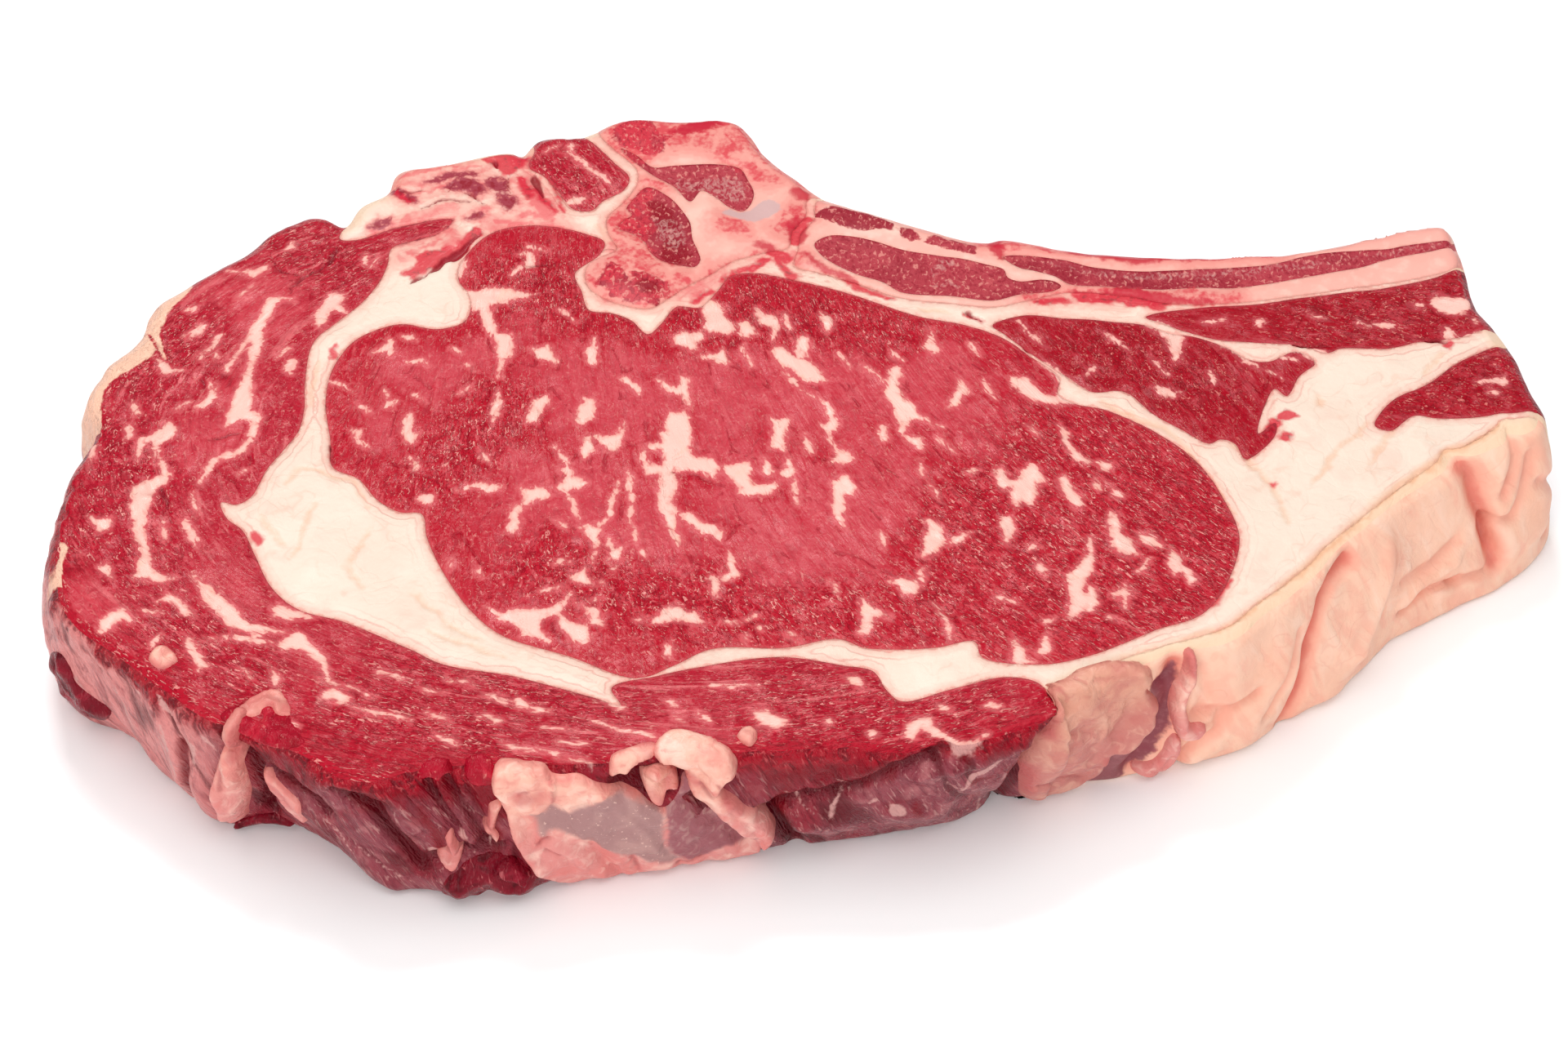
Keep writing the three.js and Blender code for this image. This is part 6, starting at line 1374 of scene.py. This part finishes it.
# The muscle's own skin: a thin wet film of grey-lilac tissue over dark fibres, torn open near the rim
def skinMaterial(name, look):
    material = newMaterial(name)
    place = addNode("TexCoord").outputs["Object"]
    sidePlace = addNode("Attribute", attribute_name="side").outputs["Vector"]
    zones = lumpsOf(place, 0.012, detail=3, warp=0.5)
    patches = lumpsOf(place, 0.004, detail=3, warp=0.6)
    strands = lumpsOf(sidePlace, 1.5, (1, 6, 1), detail=3, warp=0.8)
    threads = lumpsOf(sidePlace, 0.5, (1, 7, 1), detail=2, warp=0.5)
    ragged = lumpsOf(place, 0.0013, detail=3)
    fatEdge = sumOf(field("fat"), (sumOf((ragged, 1.5), -0.75), 0.7))
    across = addNode("SeparateXYZ", {"Vector": place}).outputs["X"]
    farLeft = between(across, -0.092, -0.104)
    veiled = sumOf((strands, 0.55), (zones, 0.35), (threads, 0.15))
    groove = field("groove")
    filmed = sumOf(field("film"), (strands, 3.0), (ragged, 2.0), (groove, 4.0), -2.5)
    filmShare = product(between(filmed, -0.8, 1.4), between(zones, 0.4, 0.56, 0.3, 0.9))
    film = painted(look, "filmColour", [
        (patches, 0.48, 0.7, 0.75, "filmPale"),
        (strands, 0.56, 0.36, 0.6, "filmDark"),
        (threads, 0.56, 0.74, 0.6, "string"),
    ])
    tornRaw = painted(look, "raw", [
        (strands, 0.52, 0.38, 0.8, "dark"),
        (ragged, 0.5, 0.36, 0.8, "bloodColour"),
        (threads, 0.56, 0.7, 0.55, "rawPale"),
    ])
    paint = painted(look, "flesh", [
        (strands, 0.54, 0.34, 0.75, "dark"),
        # painted shade, dark red, in the grooves of the muscles' side
        (groove, -0.05, -0.4, 0.9, "dark"),
        (threads, 0.58, 0.75, 0.35, "string"),
        (filmShare, film),
        (product(farLeft, between(veiled, 0.36, 0.58, 0.3, 0.9)), "pallor"),
        (field("blood"), -1.0, 0.4, 0.85, "bloodColour"),
        # deeper painted shade in the grooves
        (groove, -0.25, -0.5, 0.7, "dark"),
        (sumOf(field("depth"), (strands, 6.0), (zones, 12.0), -9.0), 3.6, 0.4, 0.95, tornRaw),
        # painted shade in the wall's deepest clefts
        (field("fold"), 0.45, 1.0, 0.8, "dark"),
        (fatEdge, -0.2, 0.3, 0.85, "string"),
        (sumOf(field("peach"), (ragged, 1.0), -0.5), -0.3, 0.3, 0.95, "peach"),
    ])
    relief = sumOf((strands, 0.8), (threads, 0.3), (ragged, 0.2), (filmShare, -0.25))
    finishMaterial(look, paint, relief, look["gloss"])
    return material


# Beef fat, cut cold: waxy and cream, pinker along its borders, with hair-thin peach creases
def fatMaterial(name, look):
    material = newMaterial(name)
    place = addNode("TexCoord").outputs["Object"]
    zones = lumpsOf(place, 0.016, detail=3)
    mottle = lumpsOf(place, 0.0045, detail=3, warp=0.5)
    fine = lumpsOf(place, 0.0012, detail=3)
    bent = addNode("TexNoise", {"Vector": place, "Scale": 90.0, "Detail": 2.0})
    moved = addNode("Mix", {0: 0.12, 4: place, 5: bent.outputs["Color"]}, data_type="VECTOR")
    cells = addNode("TexVoronoi", {"Vector": moved.outputs[1], "Scale": 26.0}, feature="DISTANCE_TO_EDGE")
    veins = between(cells.outputs["Distance"], 0.05, 0.0, 0, look["veins"])
    ragged = sumOf((fine, 1.4), -0.7)
    seam = sumOf(field("seam"), (ragged, 1.2))
    layered = sumOf(field("seam"), (mottle, 2.6), (fine, 0.5), -1.5)
    strand = addNode("Math", {0: layered, 1: 0.75}, operation="PINGPONG").outputs[0]
    strands = product(between(strand, 0.3, 0.0), between(field("seam"), 4.0, 1.5))
    strands = product(strands, between(zones, 0.45, 0.62, 0.1, 0.9))
    tan = between(sumOf(field("tan"), (ragged, 0.9)), -0.9, 0.5, 0, look["tanShare"])
    sideways = addNode("Attribute", attribute_name="side").outputs["Vector"]
    folds = lumpsOf(sideways, 4.5, (1, 3.2, 1), detail=3, warp=0.8)
    cleft = sumOf(field("fold"), (mottle, 0.5), -0.25)
    glowing = sumOf(field("glow"), (ragged, 1.0), (mottle, 4.0), -2.0)
    edge = sumOf(field("rim"), (mottle, 3.0), -1.5)
    flesh = sumOf(field("flesh"), (ragged, 1.8))
    shreds = painted(look, "flesh", [(fine, 0.5, 0.34, 0.8, "cleft"), (fine, 0.56, 0.68, 0.6, "line")])
    raw = painted(look, "blood", [(fine, 0.46, 0.32, 0.7, "cleft"), (fine, 0.58, 0.7, 0.6, "glow")])
    skin = painted(look, "film", [(fine, 0.5, 0.7, 0.5, "filmPale")])
    paint = painted(look, "fat", [
        (zones, 0.42, 0.66, 0.5, "warm"),
        (mottle, 0.5, 0.75, 0.3, "edge"),
        # painted light on the folds' ridges and painted shade in their hollows
        (folds, 0.5, 0.66, look["folded"], "litFoldPale"),
        (folds, 0.5, 0.34, look["folded"], "shadedFoldPink"),
        # painted shade in the wall's clefts, from pink to red as they deepen
        (cleft, 0.1, 0.7, 0.75, "shadedFoldPink"),
        (cleft, 0.6, 1.1, 0.75, "shadedFoldRed"),
        (product(veins, between(mottle, 0.45, 0.6)), "vein"),
        (seam, 2.2, 0.2, look["border"], "edge"),
        (product(strands, look["borderLine"]), "line"),
        (seam, 0.6, 0.1, look["borderLine"], "line"),
        (edge, look["rimWidth"], 0.0, look["rimShare"], "rim"),
        (tan, "tan"),
        (glowing, -3.6, -0.6, 0.6, "blush"),
        (glowing, -1.0, 1.4, 0.85, "glow"),
        (flesh, -1.6, 0.0, 0.5, "glow"),
        (flesh, -0.5, 0.4, shreds),
        (sumOf(field("blood"), (ragged, 0.8)), -0.6, 0.35, 0.9, raw),
        # painted shade in the clefts of the cut face
        (field("crack"), -0.35, 0.15, 0.9, "cleft"),
        (sumOf(field("film"), (ragged, 1.2)), -0.5, 0.5, 0.95, skin),
    ])
    relief = sumOf((mottle, 0.35), (fine, 0.08), (tan, -0.12), (veins, -0.08),
                   (product(folds, look["folded"]), 0.7), (strands, -0.05))
    finishMaterial(look, paint, relief, look["gloss"])
    return material


# Torn scraps of wet fat: cream-orange where the fat is thick, pinker below, with a grey film of skin
def scrapMaterial(name, look):
    material = newMaterial(name)
    place = addNode("TexCoord").outputs["Object"]
    zones = lumpsOf(place, 0.006, detail=3, warp=0.5)
    mottle = lumpsOf(place, 0.0022, detail=3, warp=0.8)
    fine = lumpsOf(place, 0.0006, detail=2)
    ragged = sumOf((mottle, 1.6), -0.8)
    film = between(sumOf(field("film"), (ragged, 0.8)), -0.5, 0.9)
    dark = between(sumOf(field("dark"), (ragged, 0.8)), -0.4, 0.7)
    redness = between(sumOf(field("redness"), (ragged, 1.6)), -1.4, 0.9, 0, 0.6)
    skin = painted(look, "film", [(zones, 0.44, 0.66, 0.8, "filmWarm"), (fine, 0.64, 0.72, 0.5, "pale")])
    paint = painted(look, "thick", [
        (sumOf(field("low"), (zones, 0.5), -0.25), 0.02, 0.6, "pink"),
        (zones, 0.48, 0.66, look["patchy"], "rosy"),
        (zones, 0.46, 0.3, look["patchy"], "pale"),
        (mottle, 0.53, 0.68, 0.35, "pale"),
        (mottle, 0.46, 0.32, 0.4, "rosy"),
        # painted shade, pink, along the rounded edges where the scrap turns away
        (sumOf(field("inner"), (ragged, 0.8)), 1.3, 0.0, 0.65, "rosy"),
        (film, skin),
        (dark, painted(look, "dark", [(mottle, 0.5, 0.7, 0.6, "filmWarm")])),
        (redness, "red"),
        # painted shade in the creases
        (sumOf(field("creases"), (ragged, 0.5)), -0.5, 0.2, 0.6, "creaseShade"),
    ])
    relief = sumOf((mottle, 0.4), (fine, 0.05), (zones, 0.5))
    finishMaterial(look, paint, relief, look["gloss"])
    return material


# Torn raw meat: wet and deep red, with short pale fibres
def rawMaterial(name, look):
    material = newMaterial(name)
    place = addNode("TexCoord").outputs["Object"]
    zones = lumpsOf(place, 0.004, detail=3, warp=0.7)
    fibres = lumpsOf(place, 0.0012, (0.6, 1, 2.4), detail=3, warp=0.8, turn=(0.3, 0.4, 0))
    paint = painted(look, "red", [
        (zones, 0.5, 0.68, 0.8, "bright"),
        (zones, 0.48, 0.32, 0.8, "dark"),
        (fibres, 0.6, 0.75, 0.7, "pale"),
    ])
    relief = sumOf((zones, 0.5), (fibres, 0.35))
    finishMaterial(look, paint, relief, look["gloss"])
    return material


# Sawn rib: dense ivory bone, pinker outwards, round spongy marrow whose red is broken by pale struts
def boneMaterial(name, look):
    material = newMaterial(name)
    place = addNode("TexCoord").outputs["Object"]
    zones = lumpsOf(place, 0.012, detail=3, warp=0.4)
    mottle = lumpsOf(place, 0.003, detail=3)
    fine = lumpsOf(place, 0.0009, detail=2)
    struts = lumpsOf(place, 0.0007, (1, 1.4, 1), detail=2, warp=0.6)
    scrapes = lumpsOf(place, 0.0016, (4, 4, 1), detail=3, warp=0.9)
    ragged = sumOf((fine, 1.4), -0.7)
    sponge = 1.0
    if not look["allSponge"]:
        sponge = between(sumOf(field("sponge"), (ragged, 0.9)), -0.25, 0.25)
    glow, paintedGleam = field("glow"), field("paintedGleam")
    core = between(sumOf(field("core"), (ragged, 1.4)), -0.9, 0.5, 0, 0.9)
    gleam = product(between(sumOf(paintedGleam, (ragged, 2.0)), -0.6, 0.8), between(struts, 0.42, 0.56))
    marrow = painted(look, "marrow", [
        (zones, 0.4, 0.65, 0.6, "marrowDark"),
        (sumOf(glow, (mottle, 3.0), -1.5), -0.8, 0.6, 0.85, "glow"),
        (core, "core"),
        (mottle, 0.55, 0.75, 0.5, "marrowBright"),
        (struts, 0.45, 0.32, 0.6, "marrowDark"),
        (struts, 0.56, 0.68, 0.7, "strut"),
        # painted highlight on the struts
        (product(gleam, 0.45), "gleam"),
    ])
    paint = painted(look, "bone", [
        (zones, 0.5, 0.7, 0.6, "boneWarm"),
        (mottle, 0.5, 0.72, 0.35, "bonePale"),
        (field("rim"), 3.4, 0.2, 0.6, "bonePink"),
        (scrapes, 0.5, 0.66, look["scraped"], "bonePale"),
        (sumOf((scrapes, 0.6), (zones, 0.6)), 0.58, 0.42, look["scraped"], "blush"),
        (sumOf(glow, (mottle, 5.0), -2.5), -4.2, -0.8, 0.65, "blush"),
        (sumOf(glow, (ragged, 2.0), (mottle, 4.0), -2.0), -0.9, 1.0, 0.85, "glow"),
        (core, "blood"),
        (sumOf(field("blood"), (ragged, 0.9)), -0.7, 0.5, 0.85, "blood"),
        (sumOf(field("cartilage"), (ragged, 0.6)), -0.3, 0.3, 0.9, "cartilage"),
        (sponge, marrow),
    ])
    relief = sumOf((fine, 0.05), (mottle, 0.08), (product(struts, sponge), 0.35), (sponge, -0.1),
                   (product(scrapes, look["scraped"]), 0.5), (product(zones, look["scraped"]), 0.8))
    finishMaterial(look, paint, relief, look["gloss"])
    return material


eyeLook = {"lean": "#C23C48", "deep": "#B20A24", "bright": "#BA122C", "dark": "#8C0018", "pale": "#D0545C",
           "rosy": "#DA6A6E", "fleckAndGlint": "#E8938B", "fat": "#F0BEB1", "fatEdge": "#E59B90",
           "fatTan": "#EFB397", "raw": "#AE0E26", "peach": "#F2C0A6", "cleft": "#7A0A1C", "deepness": -0.05,
           "streaks": 0.25, "gloss": 0.32}
capLook = dict(eyeLook, lean="#C23A46", deep="#AE0E28", pale="#CC5058", deepness=-0.05, streaks=0.75)
darkLook = dict(eyeLook, lean="#B41E34", deep="#A2001A", bright="#AC0A24", dark="#820012", pale="#BE444E",
                rosy="#C05058", fleckAndGlint="#DA7870", deepness=-0.02, streaks=0.5)
skinLook = {"flesh": "#8C1426", "dark": "#5A0210", "filmColour": "#90404A", "filmPale": "#B66E70",
            "filmDark": "#742030", "string": "#D39A94", "bloodColour": "#7C0014", "raw": "#A00A20",
            "rawPale": "#CE5A5C", "pallor": "#DE8C88", "peach": "#F2BEA4", "gloss": 0.3, "shine": 0.3}
creamLook = {"fat": "#E8D5C4", "warm": "#E7CCBA", "edge": "#E4B6A6", "line": "#D97F75", "vein": "#E4B8A2",
             "rim": "#EECBAC", "tan": "#E2A680", "glow": "#DB5C60", "blush": "#E5A092", "blood": "#CC1A34",
             "cleft": "#8C0A1E", "flesh": "#9C3644", "film": "#8A4650", "filmPale": "#A5666C",
             "litFoldPale": "#F6D0BC", "shadedFoldPink": "#E4A290", "shadedFoldRed": "#C8584E", "folded": 0.0,
             "veins": 0.3, "border": 0.75, "borderLine": 0.5, "rimWidth": 4.0, "rimShare": 0.8,
             "tanShare": 0.45, "gloss": 0.44, "coat": 0.06}
outerLook = dict(creamLook, fat="#EAC6AA", warm="#EABC9E", edge="#EACEBA", border=0.2, borderLine=0.0,
                 tanShare=0.7)
sideFatLook = dict(outerLook, fat="#EEC8B0", warm="#EABC9E", litFoldPale="#F6DCCA", shadedFoldPink="#E0A48C",
                   folded=0.45)
hideLook = dict(creamLook, fat="#F8C6AC", warm="#F4B094", edge="#F8D2BE", vein="#EA9C86",
                litFoldPale="#FCD4BF", shadedFoldPink="#F2A892", shadedFoldRed="#DA6A5C", folded=0.5, veins=0.25,
                border=0.0, borderLine=0.0, rimWidth=0.01, rimShare=0.0)
boneLook = {"bone": "#EBAA9C", "boneWarm": "#ECC4B4", "bonePale": "#F0D0C0", "bonePink": "#E2938A",
            "blush": "#DE8078", "glow": "#CE3040", "blood": "#BC1430", "cartilage": "#C8A4A2",
            "marrow": "#AE3944", "marrowDark": "#8A0E24", "marrowBright": "#C85A5C", "strut": "#DC8A80",
            "core": "#8C0018", "gleam": "#C4948E", "allSponge": False, "scraped": 0.0, "gloss": 0.48,
            "coat": 0.05}
scrapLook = {"thick": "#F4B8A4", "pink": "#DE8E88", "rosy": "#DC7A74", "pale": "#F8D0C0", "film": "#A87C7A",
             "filmWarm": "#BC908A", "dark": "#9C5C62", "red": "#C04A50", "creaseShade": "#A44C4E",
             "patchy": 0.55, "gloss": 0.32}
flapLook = dict(scrapLook, thick="#DA9A84", pink="#C67C74", rosy="#C47068", pale="#E8B29C", patchy=0.4)
rawLook = {"red": "#780A1E", "bright": "#9A1C30", "dark": "#4C000C", "pale": "#C86468", "gloss": 0.26}
freshLook = dict(rawLook, red="#A60C26", bright="#C42A3C", dark="#8A0618", pale="#E08078")

eyeMeat = meatMaterial("eye_lean_beef", eyeLook)
capMeat = meatMaterial("cap_lean_beef", capLook)
darkMeat = meatMaterial("dark_lean_beef", darkLook)
muscleSkin = skinMaterial("muscle_skin", skinLook)
creamFat = fatMaterial("cream_beef_fat", creamLook)
outerFat = fatMaterial("outer_beef_fat", outerLook)
sideFat = fatMaterial("torn_side_fat", sideFatLook)
hideFat = fatMaterial("skin_side_fat", hideLook)
sawnBone = boneMaterial("sawn_rib_bone", boneLook)
boneSkin = boneMaterial("scraped_rib_side", dict(boneLook, scraped=0.75))
redMarrow = boneMaterial("red_marrow", dict(boneLook, allSponge=True))
scrapFinishes = {
    "scrap": scrapMaterial("torn_fat_scrap", scrapLook),
    "flap": scrapMaterial("fat_flap", flapLook),
    "raw": rawMaterial("torn_raw_meat", rawLook),
    "fresh": rawMaterial("fresh_raw_meat", freshLook),
}

finishes = {
    "eye_muscle": (eyeMeat, muscleSkin, "lean_meat"),
    "cap_muscle": (capMeat, muscleSkin, "lean_meat"),
    "side_muscle": (darkMeat, muscleSkin, "dark_meat"),
    "rib_muscle": (darkMeat, muscleSkin, "dark_meat"),
    "flank_muscle": (darkMeat, muscleSkin, "dark_meat"),
    "back_muscle": (capMeat, muscleSkin, "dark_meat"),
    "chine_bone": (sawnBone, boneSkin, "cut_bone"),
    "rib_bone": (sawnBone, boneSkin, "cut_bone"),
    "chine_marrow": (redMarrow, redMarrow, "red_marrow"),
    "joint_marrow": (redMarrow, redMarrow, "red_marrow"),
    "rib_marrow": (redMarrow, redMarrow, "red_marrow"),
    "neck_marrow": (redMarrow, redMarrow, "red_marrow"),
    "kernel_fat": (creamFat, sideFat, "cream_fat"),
    "seam_fat": (creamFat, sideFat, "cream_fat"),
    "fat_cap": (outerFat, hideFat, "outer_fat"),
}
for name, piece in pieces.items():
    cutFinish, sideFinish, slotName = finishes[name]
    piece.data.materials.append(cutFinish)
    piece.data.materials.append(sideFinish)
    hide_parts(name)
    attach(piece, "root")
scrapSlots = {"front_fat_sheet": "skin_fat", "front_fat_roll": "outer_fat", "left_fat_tag": "skin_fat",
              "right_fat_flap": "skin_fat"}
for name, piece in scrapPieces.items():
    piece.data.materials.append(scrapFinishes[scraps[name]["finish"]])
    if name in scrapSlots:
        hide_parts(name)
    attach(piece, "root")
print("materials laid")

# camera at the photo's angle
camera = bpy.data.objects.new("camera", bpy.data.cameras.new("camera"))
bpy.context.scene.collection.objects.link(camera)
camera.location = (-0.00485, -0.42276, 0.50833)
camera.rotation_euler = (math.radians(40), 0, 0)
camera.data.lens = 85
camera.data.sensor_width = 36
bpy.context.scene.camera = camera

# plain pale floor and soft studio light
bpy.ops.object.select_all(action="DESELECT")
bpy.ops.mesh.primitive_plane_add(size=6, location=(0, 0, -0.0002))
floor = bpy.context.object
floor.name = "floor"
floorMaterial = newMaterial("pale_floor")
floorShader = addNode("BsdfPrincipled", {
    "Base Color": colour("#FFFFFF"), "Roughness": 0.9, "Specular IOR Level": 0.1})
addNode("OutputMaterial", {"Surface": floorShader.outputs[0]})
floor.data.materials.append(floorMaterial)

studio = {
    "world": 0.3,
    # name: place, where it points, width, height, watts
    "overhead": ((0.0, -0.1, 1.3), (0, 0, 0), 1.4, 1.2, 11.0),
    "glints": ((-0.15, 0.6, 1.15), (0, 0, 0.02), 0.3, 0.2, 6.0),
    "front": ((-0.3, -1.2, 0.6), (0, 0, 0.02), 1.2, 0.6, 8.0),
}
world = bpy.data.worlds.new("studio")
world.use_nodes = True
world.node_tree.nodes["Background"].inputs["Color"].default_value = (1, 1, 1, 1)
world.node_tree.nodes["Background"].inputs["Strength"].default_value = studio["world"]
bpy.context.scene.world = world
for name in ("overhead", "glints", "front"):
    place, aim, width, tall, watts = studio[name]
    lamp = bpy.data.objects.new(name, bpy.data.lights.new(name, "AREA"))
    lamp.data.shape = "RECTANGLE"
    lamp.data.size = width
    lamp.data.size_y = tall
    lamp.data.energy = watts
    lamp.location = place
    lamp.rotation_euler = (Vector(aim) - Vector(place)).to_track_quat("-Z", "Y").to_euler()
    bpy.context.scene.collection.objects.link(lamp)
bpy.context.scene.view_settings.view_transform = "Standard"
print("stage set")
